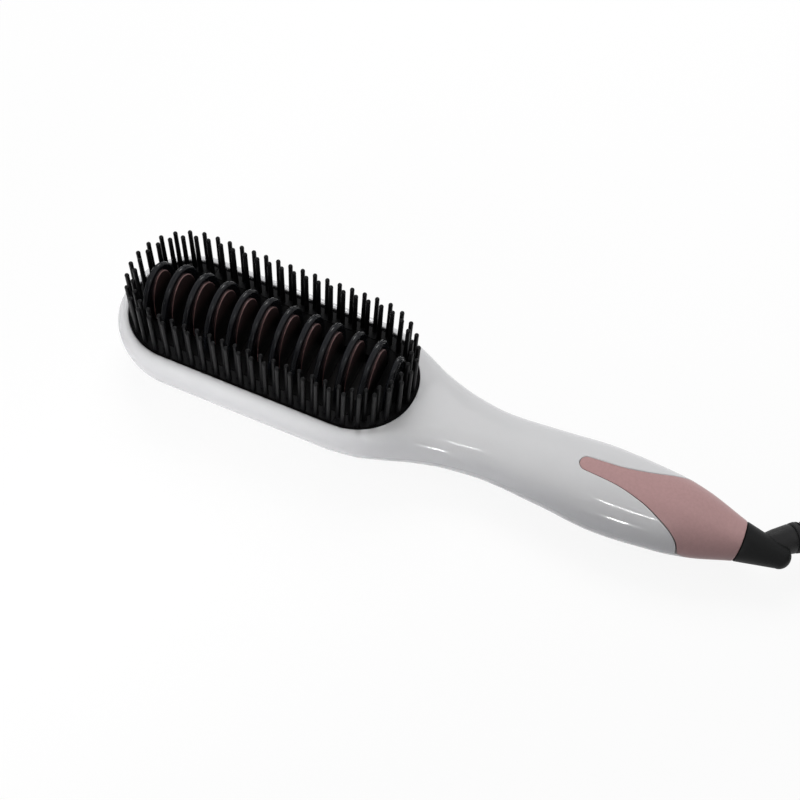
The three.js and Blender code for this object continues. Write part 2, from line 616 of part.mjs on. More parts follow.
// A YZ outline made thick along X, centred on x, with an optional rounded edge
function acrossX(shape, x, thick, bevel = 0) {
  const geometry = new THREE.ExtrudeGeometry(shape, {
    depth: thick - 2 * bevel,
    bevelEnabled: bevel > 0,
    bevelThickness: bevel,
    bevelSize: bevel,
    bevelSegments: 1,
    curveSegments: 12,
  });
  const swap = new THREE.Matrix4().makeBasis(new THREE.Vector3(0, 1, 0), new THREE.Vector3(0, 0, 1),
    new THREE.Vector3(1, 0, 0));
  return geometry.applyMatrix4(swap).translate(x - thick / 2 + bevel, 0, 0);
}

function guardArch({ x, half, top, finHalf, finTop, hasFin }) {
  const foot = COMB_TOP + GAP;
  const core = archShape(half - ARCH_ROUND, top - ARCH_ROUND, foot);
  const outline = solid(acrossX(core, x, ARCH_THICK, ARCH_ROUND)).intersect(above(foot));
  const window = solid(acrossX(archShape(finHalf + GAP, finTop + GAP, foot - 2), x, FAR));
  if (hasFin) return outline.subtract(window);
  const web = solid(acrossX(archShape(finHalf + 1, finTop + 1, foot), x, WEB_THICK));
  return outline.subtract(window).add(web);
}

// A fin fills its arch and stands out of it on the handle's side
function heatingFin(arch) {
  return acrossX(archShape(arch.finHalf, arch.finTop, PLATE_TOP + GAP), finMiddle(arch), FIN_THICK);
}

function buildFins() {
  const label = i => String(i + 1).padStart(2, '0');
  ARCHES.forEach((arch, i) => addPiece(`guard_arch_${label(i)}`, 'black', geometryOf(guardArch(arch))));
  FINS.forEach((arch, i) => addPiece(`heating_fin_${label(i)}`, 'fin', heatingFin(arch)));
}

// Screw pointing up (+1) or down (-1): its head sits against headZ
function screw(x, y, headZ, length, up) {
  const head = up > 0 ? [headZ - SCREW_HEAD_HEIGHT, headZ] : [headZ, headZ + SCREW_HEAD_HEIGHT];
  const shank = up > 0 ? [headZ - 0.5, headZ + length] : [headZ - length, headZ + 0.5];
  return solid(post(x, y, SCREW_HEAD_RADIUS, ...head, 12)).add(solid(post(x, y, SCREW_RADIUS, ...shank, 12)));
}

// Heater stack: plate under the fins, ceramic heater, clamp plate with its screws, thermal fuse
function buildHeater() {
  const plateEnd = FIN_END + 1;
  const plateStart = Math.max(FIN_START - 1, -CLAMP_POST_X + CLAMP_POST_RADIUS + GAP);
  const middle = (plateStart + plateEnd) / 2;
  const [heaterStart, heaterEnd] = [middle - HEATER_LENGTH / 2, middle + HEATER_LENGTH / 2];
  addPiece('heat_plate', 'plate',
    box(plateStart, plateEnd, -PLATE_HALF, PLATE_HALF, PLATE_BOTTOM, PLATE_TOP));
  addPiece('ceramic_heater', 'ceramic',
    box(heaterStart, heaterEnd, -HEATER_HALF, HEATER_HALF, HEATER_BOTTOM, HEATER_TOP));
  let clamp = solid(prism(stadium(CLAMP_POST_X, CLAMP_POST_RADIUS + 1.2), CLAMP_BOTTOM, CLAMP_TOP, 6))
    .add(solid(box(heaterStart, heaterEnd, -CLAMP_HALF, CLAMP_HALF, CLAMP_BOTTOM, CLAMP_TOP)));
  for (const sign of [1, -1]) {
    clamp = clamp.subtract(solid(post(sign * CLAMP_POST_X, 0, SCREW_RADIUS + GAP, 0, FAR, 10)));
    addPiece(`clamp_screw_${sign > 0 ? 'neck' : 'tip'}`, 'metal',
      geometryOf(screw(sign * CLAMP_POST_X, 0, CLAMP_BOTTOM - GAP, CLAMP_THICK + 4, 1)));
    const lugTop = LUG_Z + LUG_THICK + GAP;
    addPiece(`case_screw_${sign > 0 ? 'left' : 'right'}`, 'metal',
      geometryOf(screw(-CASE_SCREW_X * sign, CASE_SCREW_Y * sign, lugTop, LUG_THICK + 8, -1)));
  }
  addPiece('heater_clamp', 'metal', geometryOf(clamp));
  addPiece('thermal_fuse', 'metal', new THREE.CylinderGeometry(FUSE_RADIUS, FUSE_RADIUS, FUSE_LENGTH, 12)
    .rotateZ(Math.PI / 2).translate(middle + FUSE_LENGTH, 0, CLAMP_BOTTOM - GAP - FUSE_RADIUS));
}

// A round lead along a few points
function lead(points, radius, steps, sides = 8) {
  const section = new THREE.Shape();
  for (let i = 0; i < sides; i++) {
    const angle = (i / sides) * 2 * Math.PI;
    const [u, v] = [radius * Math.cos(angle), radius * Math.sin(angle)];
    if (i === 0) section.moveTo(u, v);
    else section.lineTo(u, v);
  }
  const path = new THREE.CatmullRomCurve3(points.map(p => new THREE.Vector3(...p)), false, 'centripetal');
  return new THREE.ExtrudeGeometry(section, { steps, bevelEnabled: false, extrudePath: path });
}

// Panel plate, window, display, buttons, switches, board and leads
function buildControls() {
  const plate = new THREE.Shape();
  const [x0, x1, r] = [PANEL_START, PANEL_END, PANEL_MARGIN];
  plate.absarc(x1 - r, -PANEL_HALF + r, r, -Math.PI / 2, 0, false);
  plate.absarc(x1 - r, PANEL_HALF - r, r, 0, Math.PI / 2, false);
  plate.absarc(x0 + r, PANEL_HALF - r, r, Math.PI / 2, Math.PI, false);
  plate.absarc(x0 + r, -PANEL_HALF + r, r, Math.PI, 1.5 * Math.PI, false);
  let panel = solid(prism(plate, PANEL_FACE, PANEL_TOP, 4));
  const [w0, w1] = [WINDOW_START, WINDOW_END];
  panel = panel.subtract(solid(box(w0 - GAP, w1 + GAP, -WINDOW_HALF - GAP, WINDOW_HALF + GAP, 0, FAR)));
  BUTTONS.forEach(({ x, radius }) => {
    panel = panel.subtract(solid(post(x, 0, radius + GAP, 0, FAR, 16)));
  });
  addPiece('control_panel', 'panel', geometryOf(panel));
  addPiece('display_window', 'glass',
    box(w0, w1, -WINDOW_HALF, WINDOW_HALF, PANEL_TOP - WINDOW_THICK, PANEL_TOP));
  addPiece('display_module', 'black',
    box(w0 + 0.5, w1 - 0.5, -WINDOW_HALF, WINDOW_HALF, PAD_TOP + GAP, SWITCH_TOP));
  BUTTONS.forEach(({ name, x, radius }) => {
    const face = PANEL_FACE - BUTTON_PROUD;
    const profile = [[0, face], [radius - 0.5, face], [radius, face + 0.5], [radius, FLANGE_BOTTOM],
      [radius + FLANGE_STEP, FLANGE_BOTTOM], [radius + FLANGE_STEP, FLANGE_TOP], [STEM_RADIUS, FLANGE_TOP],
      [STEM_RADIUS, FLANGE_TOP + STEM_LENGTH], [0, FLANGE_TOP + STEM_LENGTH]];
    addPiece(`${name}_button`, 'white', new THREE.LatheGeometry(
      profile.map(([pr, pz]) => new THREE.Vector2(pr, pz)), 16).rotateX(Math.PI / 2).translate(x, 0, 0));
    const half = SWITCH_SIZE / 2;
    const body = solid(box(x - half, x + half, -half, half, SWITCH_BOTTOM, SWITCH_TOP))
      .subtract(solid(post(x, 0, STEM_RADIUS + GAP, 0, FLANGE_TOP + STEM_LENGTH + BUTTON_TRAVEL + GAP, 12)));
    addPiece(`${name}_switch`, 'black', geometryOf(body));
  });
  addPiece('circuit_board', 'board',
    box(BOARD_START, BOARD_END, -BOARD_HALF, BOARD_HALF, BOARD_BOTTOM, BOARD_TOP));
  const heaterEnd = (FIN_START + FIN_END) / 2 + HEATER_LENGTH / 2 + GAP;
  const heaterMid = (HEATER_TOP + HEATER_BOTTOM) / 2;
  const boardLead = BOARD_TOP + GAP + LEAD_RADIUS;
  const leadSide = HEATER_HALF / 2 + 1;
  const heaterRoute = [[heaterEnd, leadSide, heaterMid], [heaterEnd + 6, leadSide, heaterMid],
    [mix(heaterEnd, BOARD_START, 0.6), leadSide + 0.5, heaterMid - 0.6],
    [mix(heaterEnd, BOARD_START, 0.87), leadSide, boardLead + 0.6],
    [BOARD_START + 3, leadSide - 1, boardLead], [BOARD_START + 9, leadSide - 1, boardLead]];
  addPiece('heater_leads', 'wire', lead(heaterRoute, LEAD_RADIUS, 12, 6));
  const mains = BOARD_TOP + GAP + MAINS_LEAD_RADIUS;
  const socketStart = HANDLE_END - GAP - SOCKET_LENGTH - SWIVEL_FLANGE_THICK - GAP;
  const mainsRoute = [[BOARD_END - 8, 0, mains], [BOARD_END, 0, mains],
    [mix(BOARD_END, socketStart, 0.4), 0, AXIS_Z + 1], [socketStart - 8, 0, AXIS_Z],
    [socketStart - GAP, 0, AXIS_Z]];
  addPiece('mains_leads', 'wire', lead(mainsRoute, MAINS_LEAD_RADIUS, 10, 8));
}

// A profile of [along, radius] pairs turned about a level axis that leaves origin at an angle in plan
function turned(profile, origin, degrees, sides) {
  const points = profile.map(([along, r]) => new THREE.Vector2(r, along));
  const angle = THREE.MathUtils.degToRad(degrees);
  return new THREE.LatheGeometry(points, sides).rotateZ(-Math.PI / 2).rotateZ(angle).translate(...origin);
}

// Boot profile: a thin root inside the cap, a shoulder that widens, then ribs that taper to the cord
function bootProfile(grow) {
  const profile = [[1.5 - grow, 0], [1.5 - grow, 2.8 + grow], [5.5 - grow, 2.8 + grow],
    [5.8 - grow, BOOT_RADIUS + grow], [9, BOOT_RADIUS + grow + 0.1], [17, BOOT_SHOULDER_RADIUS + grow]];
  if (grow > 0) return [...profile, [30, BOOT_SHOULDER_RADIUS + grow], [30, 0]];
  const ribSpan = (BOOT_LENGTH - 18) / BOOT_RIBS;
  for (let i = 0; i < BOOT_RIBS; i++) {
    const start = 18 + i * ribSpan;
    const r = BOOT_SHOULDER_RADIUS - (i + 0.5) * (BOOT_SHOULDER_RADIUS - CORD_RADIUS - 0.8) / BOOT_RIBS;
    profile.push([start, r - 0.9], [start + ribSpan * 0.4, r - 0.9]);
    profile.push([start + ribSpan * 0.45, r], [start + ribSpan, r - 0.1]);
  }
  profile.push([BOOT_LENGTH, 0]);
  return profile;
}

function buildSwivel() {
  const axis = [0, 0, AXIS_Z];
  const barrelStart = HANDLE_END - GAP - SOCKET_LENGTH;
  const collar = SOCKET_RADIUS + 1.4;
  const bore = SPIGOT_RADIUS + GAP;
  const socket = solid(turned([[barrelStart, 0], [barrelStart, collar], [barrelStart + 2, collar],
    [barrelStart + 2, SOCKET_RADIUS], [HANDLE_END - GAP, SOCKET_RADIUS], [HANDLE_END - GAP, 0]], axis, 0, 16))
    .subtract(solid(turned([[0, 0], [0, bore], [FAR, bore], [FAR, 0]], axis, 0, 16)));
  addPiece('swivel_socket', 'black', geometryOf(socket));
  const flangeEnd = barrelStart - GAP;
  const noseStart = NOSE_X - CAP_NOSE_RADIUS;
  const flangeStart = flangeEnd - SWIVEL_FLANGE_THICK;
  const profile = [[flangeStart, 0], [flangeStart, SWIVEL_FLANGE_RADIUS], [flangeEnd, SWIVEL_FLANGE_RADIUS],
    [flangeEnd, SPIGOT_RADIUS], [HANDLE_END + GAP, SPIGOT_RADIUS],
    [HANDLE_END + GAP, END_RADIUS - 0.1]];
  for (let i = 0; i <= 5; i++) {
    const angle = (i / 5) * Math.PI / 2;
    const radius = i === 5 ? 0 : CAP_NOSE_RADIUS * Math.cos(angle);
    profile.push([noseStart + CAP_NOSE_RADIUS * Math.sin(angle), radius]);
  }
  const bootBore = solid(turned(bootProfile(GAP), [BOOT_ROOT_X, 0, AXIS_Z], BOOT_ANGLE, 14));
  addPiece('swivel_cap', 'black', geometryOf(solid(turned(profile, axis, 0, 16)).subtract(bootBore)));
  addPiece('strain_relief', 'black', turned(bootProfile(0), [BOOT_ROOT_X, 0, AXIS_Z], BOOT_ANGLE, 12));
}

// Cord: out of the boot and down to the coil; the coil's loops; over them a quarter turn to the plug
const heading = THREE.MathUtils.degToRad(BOOT_ANGLE);
const outOfBoot = new THREE.Vector3(Math.cos(heading), Math.sin(heading), 0);
const COIL_FLOOR = TIE_THICK + GAP + CORD_RADIUS;
const COIL_TOP = COIL_FLOOR + (COIL_LAYERS - 1) * COIL_PITCH + CORD_RADIUS;
const PLUG_Z = COIL_TOP + GAP + PLUG_HALF_HEIGHT;
const cordStart = BOOT_LENGTH + GAP;
const cordPoint = (along, z) => new THREE.Vector3(BOOT_ROOT_X, 0, z).addScaledVector(outOfBoot, along);
const entryAngle = heading + Math.PI / 2;
const COIL_TURNS = COIL_WHOLE_TURNS + entryAngle / (2 * Math.PI);
const TURNS_PER_LAYER = COIL_TURNS / COIL_LAYERS;
const COIL_TRAVEL = (TURNS_PER_LAYER - 0.5) * COIL_PITCH;
const coilCentre = cordPoint(cordStart + RUN_TO_COIL, 0)
  .sub(new THREE.Vector3(COIL_RADIUS * Math.cos(entryAngle), COIL_RADIUS * Math.sin(entryAngle), 0));
const coilAt = (angle, radius, z) => new THREE.Vector3(radius * Math.cos(angle), radius * Math.sin(angle), z)
  .add(coilCentre);

// The coil's middle line: each layer spirals in or out, then climbs over half a turn at a steady radius
function coilPath() {
  const points = [coilAt(entryAngle, COIL_RADIUS, COIL_FLOOR).addScaledVector(outOfBoot, -2 * CORD_RADIUS)];
  const steps = Math.round(COIL_TURNS * 24);
  for (let i = 0; i <= steps; i++) {
    const turn = i / steps * COIL_TURNS;
    const layer = Math.min(Math.floor(turn / TURNS_PER_LAYER), COIL_LAYERS - 1);
    const within = turn - layer * TURNS_PER_LAYER;
    const moved = Math.min(within * COIL_PITCH, COIL_TRAVEL);
    const climb = Math.max(0, (within - (TURNS_PER_LAYER - 0.5)) / 0.5);
    const radius = layer % 2 === 0 ? COIL_RADIUS - moved : COIL_RADIUS - COIL_TRAVEL + moved;
    points.push(coilAt(entryAngle - turn * 2 * Math.PI, radius, COIL_FLOOR + (layer + climb) * COIL_PITCH));
  }
  const tailShift = COIL_RADIUS - TAIL_RADIUS;
  const tailSteps = 6;
  for (let i = 1; i <= tailSteps; i++) {
    const t = i / tailSteps;
    const z = mix(COIL_TOP - CORD_RADIUS + COIL_PITCH, PLUG_Z, THREE.MathUtils.smoothstep(t, 0, 1));
    const point = coilAt(-t * Math.PI / 2, TAIL_RADIUS, z);
    points.push(point.setX(point.x + tailShift));
  }
  const away = new THREE.Vector3(-1, 0, 0);
  points.push(points[points.length - 1].clone().addScaledVector(away, 2 * CORD_RADIUS));
  return { points, away };
}

// A closed skin over rings of points, all with the same count, with flat ends
function closedSkin(rings) {
  const sides = rings[0].length;
  const index = [];
  for (let i = 0; i + 1 < rings.length; i++) {
    for (let k = 0; k < sides; k++) {
      const [a, b] = [i * sides + k, i * sides + (k + 1) % sides];
      index.push(a, b, a + sides, b, b + sides, a + sides);
    }
  }
  const last = (rings.length - 1) * sides;
  for (let k = 1; k + 1 < sides; k++) {
    index.push(0, k + 1, k, last, last + k, last + k + 1);
  }
  const geometry = new THREE.BufferGeometry().setFromPoints(rings.flat());
  geometry.setIndex(index);
  return geometry;
}

// A tube swept along points with its section kept upright
function sweep(points, radius, sides) {
  return closedSkin(points.map((point, i) => {
    const along = points[Math.min(i + 1, points.length - 1)].clone().sub(points[Math.max(i - 1, 0)]);
    if (i === 0 || i === points.length - 1) along.setZ(0);
    along.normalize();
    const left = new THREE.Vector3(-along.y, along.x, 0).normalize();
    const up = new THREE.Vector3().crossVectors(along, left);
    return Array.from({ length: sides }, (unused, k) => {
      const angle = (k / sides) * 2 * Math.PI;
      const outwards = left.clone().multiplyScalar(Math.cos(angle)).addScaledVector(up, Math.sin(angle));
      return point.clone().addScaledVector(outwards, radius);
    });
  }));
}

// The least clear distance between stretches of the tube that lie more than a third of a turn apart
function leastGap(points) {
  const fine = new THREE.CatmullRomCurve3(points).getSpacedPoints(1200);
  const step = fine[0].distanceTo(fine[1]);
  const skip = Math.ceil(COIL_RADIUS * 2 / step);
  let least = Infinity;
  for (let i = 0; i < fine.length; i++) {
    for (let j = i + skip; j < fine.length; j++) least = Math.min(least, fine[i].distanceTo(fine[j]));
  }
  return least - 2 * CORD_RADIUS;
}

const pathLength = points => points.slice(1).reduce((sum, p, i) => sum + p.distanceTo(points[i]), 0);

// A loft of rounded-rectangle sections [along, half width, half height] leaving origin in direction away
function plugBody(origin, away) {
  const [width, height, edge] = [PLUG_HALF_WIDTH, PLUG_HALF_HEIGHT, 1.2];
  const sections = [[0, 3.6, 3.6], [9, 4.4, 4.4], [12, 8, 6.2], [20, width - 1, height - 0.2],
    [PLUG_LENGTH - 2, width, height], [PLUG_LENGTH, width - edge, height - edge]];
  const sides = 16;
  const left = new THREE.Vector3(-away.y, away.x, 0);
  const squarish = v => Math.sign(v) * Math.abs(v) ** 0.6;
  const ring = ([along, halfWidth, halfHeight]) => Array.from({ length: sides }, (unused, k) => {
    const angle = ((k + 0.5) / sides) * 2 * Math.PI;
    const point = origin.clone().addScaledVector(away, along)
      .addScaledVector(left, halfWidth * squarish(Math.cos(angle)));
    return point.setZ(point.z + halfHeight * squarish(Math.sin(angle)));
  });
  return closedSkin(sections.map(ring));
}

// A flat blade on edge with the hole near its end
function plugBlade(origin, away, offset) {
  const shape = new THREE.Shape();
  const half = BLADE_WIDTH / 2;
  shape.moveTo(0, -half);
  shape.lineTo(BLADE_LENGTH - 1, -half);
  shape.lineTo(BLADE_LENGTH, -half + 1);
  shape.lineTo(BLADE_LENGTH, half - 1);
  shape.lineTo(BLADE_LENGTH - 1, half);
  shape.lineTo(0, half);
  const hole = new THREE.Path();
  hole.absarc(BLADE_LENGTH - 5, 0, 1.6, 0, 2 * Math.PI, true);
  shape.holes.push(hole);
  const right = new THREE.Vector3(away.y, -away.x, 0);
  const frame = new THREE.Matrix4().makeBasis(away, new THREE.Vector3(0, 0, 1), right);
  const start = origin.clone().addScaledVector(right, offset - BLADE_THICK / 2);
  return new THREE.ExtrudeGeometry(shape, { depth: BLADE_THICK, bevelEnabled: false, curveSegments: 3 })
    .applyMatrix4(frame).translate(start.x, start.y, start.z);
}

// The free stretch: straight out of the boot, an S down to the coil's lowest layer, straight into the coil
function freePath() {
  const straight = 2 * CORD_RADIUS;
  const end = RUN_TO_COIL - straight - GAP;
  const ease = t => (t < 0.5 ? 2 * t * t : 1 - 2 * (1 - t) ** 2);
  const slope = [0, ...parts(0, 1, 4)]
    .map(t => [mix(straight, end - straight, t), mix(AXIS_Z, COIL_FLOOR, ease(t))]);
  return [[0, AXIS_Z], ...slope, [end, COIL_FLOOR]].map(([along, z]) => cordPoint(cordStart + along, z));
}

function buildCord() {
  const entry = coilPath();
  const free = freePath();
  addPiece('cord', 'black', sweep(free, CORD_RADIUS, 8));
  addPiece('cord_coil', 'black', sweep(entry.points, CORD_RADIUS, 6));
  console.log(`least gap of the coil to itself: ${leastGap(entry.points).toFixed(2)} mm`);
  console.log(`cord from boot to plug: ${(pathLength(free) + pathLength(entry.points)).toFixed(0)} mm`);

  const inside = Math.sqrt((COIL_RADIUS - COIL_TRAVEL - CORD_RADIUS) ** 2 - TIE_WIDTH ** 2 / 4) - GAP;
  const outside = COIL_RADIUS + CORD_RADIUS + GAP;
  const topZ = COIL_TOP + GAP;
  const strap = box(inside - TIE_THICK, outside + TIE_THICK, -TIE_WIDTH / 2, TIE_WIDTH / 2, 0,
    topZ + TIE_THICK);
  const band = solid(strap).subtract(solid(box(inside, outside, -TIE_WIDTH, TIE_WIDTH, TIE_THICK, topZ)));
  const tie = geometryOf(band).rotateZ(THREE.MathUtils.degToRad(TIE_ANGLE));
  addPiece('cord_tie', 'black', tie.translate(coilCentre.x, coilCentre.y, 0));

  const plugStart = entry.points[entry.points.length - 1].clone().addScaledVector(entry.away, GAP);
  addPiece('plug_body', 'black', plugBody(plugStart, entry.away));
  const bladeStart = plugStart.clone().addScaledVector(entry.away, PLUG_LENGTH + GAP);
  addPiece('plug_blade_left', 'metal', plugBlade(bladeStart, entry.away, -BLADE_SPACING / 2));
  addPiece('plug_blade_right', 'metal', plugBlade(bladeStart, entry.away, BLADE_SPACING / 2));
}

buildBody();
buildComb();
buildFins();
buildHeater();
buildControls();
buildSwivel();
buildCord();
brush.position.x = -(TIP_X + NOSE_X) / 2;

export default brush;
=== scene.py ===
import json
import math

import bmesh
import bpy
from mathutils import Matrix, Vector


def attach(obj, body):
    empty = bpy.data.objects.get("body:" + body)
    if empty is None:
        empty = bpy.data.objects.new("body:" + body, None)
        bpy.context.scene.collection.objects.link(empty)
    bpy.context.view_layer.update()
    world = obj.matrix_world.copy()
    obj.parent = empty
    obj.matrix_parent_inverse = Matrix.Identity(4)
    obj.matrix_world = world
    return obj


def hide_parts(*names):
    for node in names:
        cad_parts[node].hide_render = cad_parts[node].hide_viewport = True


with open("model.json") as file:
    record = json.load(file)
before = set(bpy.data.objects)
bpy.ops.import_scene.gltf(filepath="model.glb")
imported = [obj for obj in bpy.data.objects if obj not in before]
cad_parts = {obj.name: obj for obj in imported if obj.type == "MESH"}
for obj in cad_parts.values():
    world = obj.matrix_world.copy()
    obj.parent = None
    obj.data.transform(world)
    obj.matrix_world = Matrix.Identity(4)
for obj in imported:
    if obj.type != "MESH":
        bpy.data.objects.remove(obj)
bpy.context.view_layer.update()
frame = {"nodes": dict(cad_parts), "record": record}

NODES = frame["nodes"]
FIXED = "brush"
CORD_SET = "cord_set"

# Sizes in millimetres, most of them as in the part's source. X is from the middle of the head.
SHIFT = -71.1
HEAD_HALF, INSERT_RADIUS, RIM_WIDTH = 34.6, 23.0, 4.8
HEAD_RADIUS = INSERT_RADIUS + RIM_WIDTH
GAP, SEAM, WALL = 0.3, 0.25, 2.0
BODY_HEIGHT, PART_Z, AXIS_Z = 25.5, 13.3, 14.1
RIM_LIP, RIM_ROLL, BACK_FLAT = 1.0, 5.5, 26.0
NECK_X, NECK_HALF, NECK_TOP, NECK_BACK = 92.0, 13.9, 24.4, 2.8
GRIP_X, GRIP_HALF, GRIP_TOP = 134.0, 17.0, 26.5
WAIST_X, WAIST_HALF, WAIST_TOP, WAIST_BACK = 158.0, 15.4, 26.4, 1.9
SLIM_FLAT, BED_FLAT = 0.6, 4.0
HANDLE_END, END_RADIUS, NOSE_X = 185.0, 7.7, 204.6
CAP_NOSE_RADIUS, SPIGOT_RADIUS = 4.5, 3.8
RING_X, RING_TOP_X, SLANT_DEPTH = 170.7, 166.6, 4.8
TONGUE_X, TONGUE_NOSE, TONGUE_OVERLAP, TONGUE_FLARE = 122.0, 2.7, 0.6, 0.2
COMB_TOP, COMB_THICK, STRIP_THICK = 24.7, 3.0, 1.2
ROW_RADIUS, ROW_STEP, STRIP_MARGIN = 21.2, 2.35, 1.35
SIDE_PINS, SIDE_MARGIN, ARC_PINS = 14, 2.1, 12
PIN_RADIUS, PIN_TIP_RADIUS, PIN_TOP = 0.98, 0.86, 45.8
ARCH_COUNT, ARCH_PITCH, ARCH_SHIFT, ARCH_THICK, ARCH_ROUND = 12, 8.8, 0.9, 2.4, 1.1
ARCH_HALF, ARCH_TOP, ARCH_BASE, WEB_HALF = 13.8, 44.6, 25.5, 0.6
FIRST_ARCH_HALF, LAST_ARCH_HALF, END_ARCH_TOP = 11.4, 9.2, 43.2
FIN_HALF, FIN_TOP, END_FIN_HALF, END_FIN_TOP = 9.7, 42.7, 7.4, 41.3
FIN_LEDGE, FIN_CHAMFER, FIN_OPENING_HALF, PLATE_TOP = 0.8, 0.22, 10.0, 21.4
PANEL_START, PANEL_END, PANEL_HALF, PANEL_MARGIN = 75.0, 122.9, 6.5, 3.0
PANEL_FACE, PANEL_TOP, PANEL_BED, PAD_TOP = 2.9, 4.1, 4.4, 5.9
WINDOW_START, WINDOW_END, WINDOW_HALF = 78.0, 90.4, 3.7
CUT_LOW, CUT_HIGH = -1, 8
BUTTON_PROUD, BUTTON_FLANGE, STEM_RADIUS, STEM_LENGTH = 0.9, 0.8, 1.2, 2.3
BUTTONS = {"plus_button": (98.0, 3.1), "minus_button": (106.5, 3.1), "power_button": (115.9, 4.0)}


def place(x, y, z):
    """A point in millimetres from the head's middle, as a point of the shared frame in metres."""
    return Vector(((x + SHIFT) / 1000, y / 1000, z / 1000))


# Camera
FOCAL_PIXELS, PICTURE_PIXELS, SENSOR = 1116.117, 800, 36.0
CAMERA_PLACE = (112.784, -204.378, 377.361)
camera_data = bpy.data.cameras.new("camera")
camera_data.sensor_width = SENSOR
camera_data.lens = FOCAL_PIXELS / PICTURE_PIXELS * SENSOR
camera_data.clip_start, camera_data.clip_end = 0.01, 50.0
camera = bpy.data.objects.new("camera", camera_data)
bpy.context.scene.collection.objects.link(camera)
right = Vector((0.92075, 0.3849, 0.06379))
up = Vector((-0.36203, 0.78193, 0.50747))
back = Vector((0.14545, -0.49035, 0.85931))
turn = Matrix((right, up, back)).transposed()
camera.matrix_world = Matrix.Translation(place(*CAMERA_PLACE)) @ turn.to_4x4()
bpy.context.scene.camera = camera
bpy.context.scene.view_settings.view_transform = "Standard"


# Materials
def material(name, colour, roughness, metallic=0.0, coat=0.0, coat_roughness=0.1, specular=0.5):
    """A plain coated surface, for textured() to work on."""
    mat = bpy.data.materials.new(name)
    mat.use_nodes = True
    shader = mat.node_tree.nodes["Principled BSDF"]
    shader.inputs["Base Color"].default_value = (*colour, 1)
    shader.inputs["Roughness"].default_value = roughness
    shader.inputs["Metallic"].default_value = metallic
    shader.inputs["Coat Weight"].default_value = coat
    shader.inputs["Coat Roughness"].default_value = coat_roughness
    shader.inputs["Specular IOR Level"].default_value = specular
    mat.diffuse_color = (*colour, 1)
    return mat


def link(mat, a, out, b, into):
    """Joins an output of node a to an input of node b."""
    mat.node_tree.links.new(a.outputs[out], b.inputs[into])


def node(mat, kind, **values):
    """A new node with values for its properties or its inputs."""
    made = mat.node_tree.nodes.new(kind)
    for key, value in values.items():
        if hasattr(made, key):
            setattr(made, key, value)
        else:
            made.inputs[key].default_value = value
    return made


def textured(mat, scale, colour_swing, rough_low, rough_high, bump_height, bump_scale, detail=4.0):
    """Fine colour and roughness changes, and a small bump, from noise in object space."""
    shader = mat.node_tree.nodes["Principled BSDF"]
    coords = node(mat, "ShaderNodeTexCoord")
    broad = node(mat, "ShaderNodeTexNoise", Scale=scale, Detail=detail, Roughness=0.6)
    link(mat, coords, "Object", broad, "Vector")
    base = list(shader.inputs["Base Color"].default_value)
    ramp = node(mat, "ShaderNodeValToRGB")
    ramp.color_ramp.elements[0].position = 0.3
    ramp.color_ramp.elements[1].position = 0.7
    ramp.color_ramp.elements[0].color = (*[c * (1 - colour_swing) for c in base[:3]], 1)
    ramp.color_ramp.elements[1].color = (*[min(c * (1 + colour_swing), 1) for c in base[:3]], 1)
    link(mat, broad, "Fac", ramp, "Fac")
    link(mat, ramp, "Color", shader, "Base Color")
    spread = node(mat, "ShaderNodeMapRange")
    spread.inputs["From Min"].default_value = 0.3
    spread.inputs["From Max"].default_value = 0.7
    spread.inputs["To Min"].default_value = rough_low
    spread.inputs["To Max"].default_value = rough_high
    link(mat, broad, "Fac", spread, "Value")
    link(mat, spread, "Result", shader, "Roughness")
    fine = node(mat, "ShaderNodeTexNoise", Scale=bump_scale, Detail=2.0, Roughness=0.5)
    link(mat, coords, "Object", fine, "Vector")
    bump = node(mat, "ShaderNodeBump", Strength=1.0, Distance=bump_height)
    link(mat, fine, "Fac", bump, "Height")
    link(mat, bump, "Normal", shader, "Normal")
    return mat


WHITE = textured(
    material("white_gloss", (0.66, 0.66, 0.67), 0.24, coat=0.4, coat_roughness=0.07, specular=0.12),
    60, 0.012, 0.2, 0.27, 2e-6, 2500)
ROSE = textured(
    material("rose_gold", (0.465, 0.285, 0.282), 0.36, metallic=0.04,
             coat=0.04, coat_roughness=0.15, specular=0.15),
    900, 0.05, 0.32, 0.42, 3e-6, 6000)
BLACK = textured(material("black_matte", (0.0065, 0.0068, 0.007), 0.5, specular=0.12),
                 300, 0.12, 0.42, 0.55, 8e-6, 3500)
COMB = textured(material("black_comb", (0.0035, 0.0035, 0.0037), 0.45, specular=0.05),
                300, 0.12, 0.38, 0.5, 6e-6, 3500)
ARCH = textured(material("black_guard", (0.0055, 0.006, 0.008), 0.2, specular=0.17),
                400, 0.12, 0.18, 0.25, 4e-6, 3000)
NYLON = textured(material("black_nylon", (0.006, 0.006, 0.0065), 0.34, specular=0.1),
                 400, 0.15, 0.28, 0.4, 4e-6, 3000)
CORD = textured(material("cord_vinyl", (0.0095, 0.0095, 0.01), 0.5, specular=0.22),
                300, 0.15, 0.42, 0.58, 1e-5, 2500)
STEEL = textured(material("plain_steel", (0.55, 0.55, 0.56), 0.35, metallic=1.0),
                 500, 0.05, 0.28, 0.42, 3e-6, 4000)
CERAMIC = textured(material("ceramic", (0.75, 0.72, 0.66), 0.8), 500, 0.04, 0.7, 0.85, 1e-5, 3000)
BOARD = textured(material("board_green", (0.03, 0.12, 0.05), 0.5), 400, 0.12, 0.4, 0.6, 6e-6, 3000)
GLASS = textured(
    material("smoked_window", (0.005, 0.0055, 0.006), 0.08, coat=0.2, coat_roughness=0.03, specular=0.2),
    200, 0.1, 0.04, 0.09, 1e-6, 1500)
PANEL = textured(material("grey_panel", (0.33, 0.33, 0.34), 0.3, specular=0.3),
                 200, 0.02, 0.26, 0.34, 3e-6, 3500)
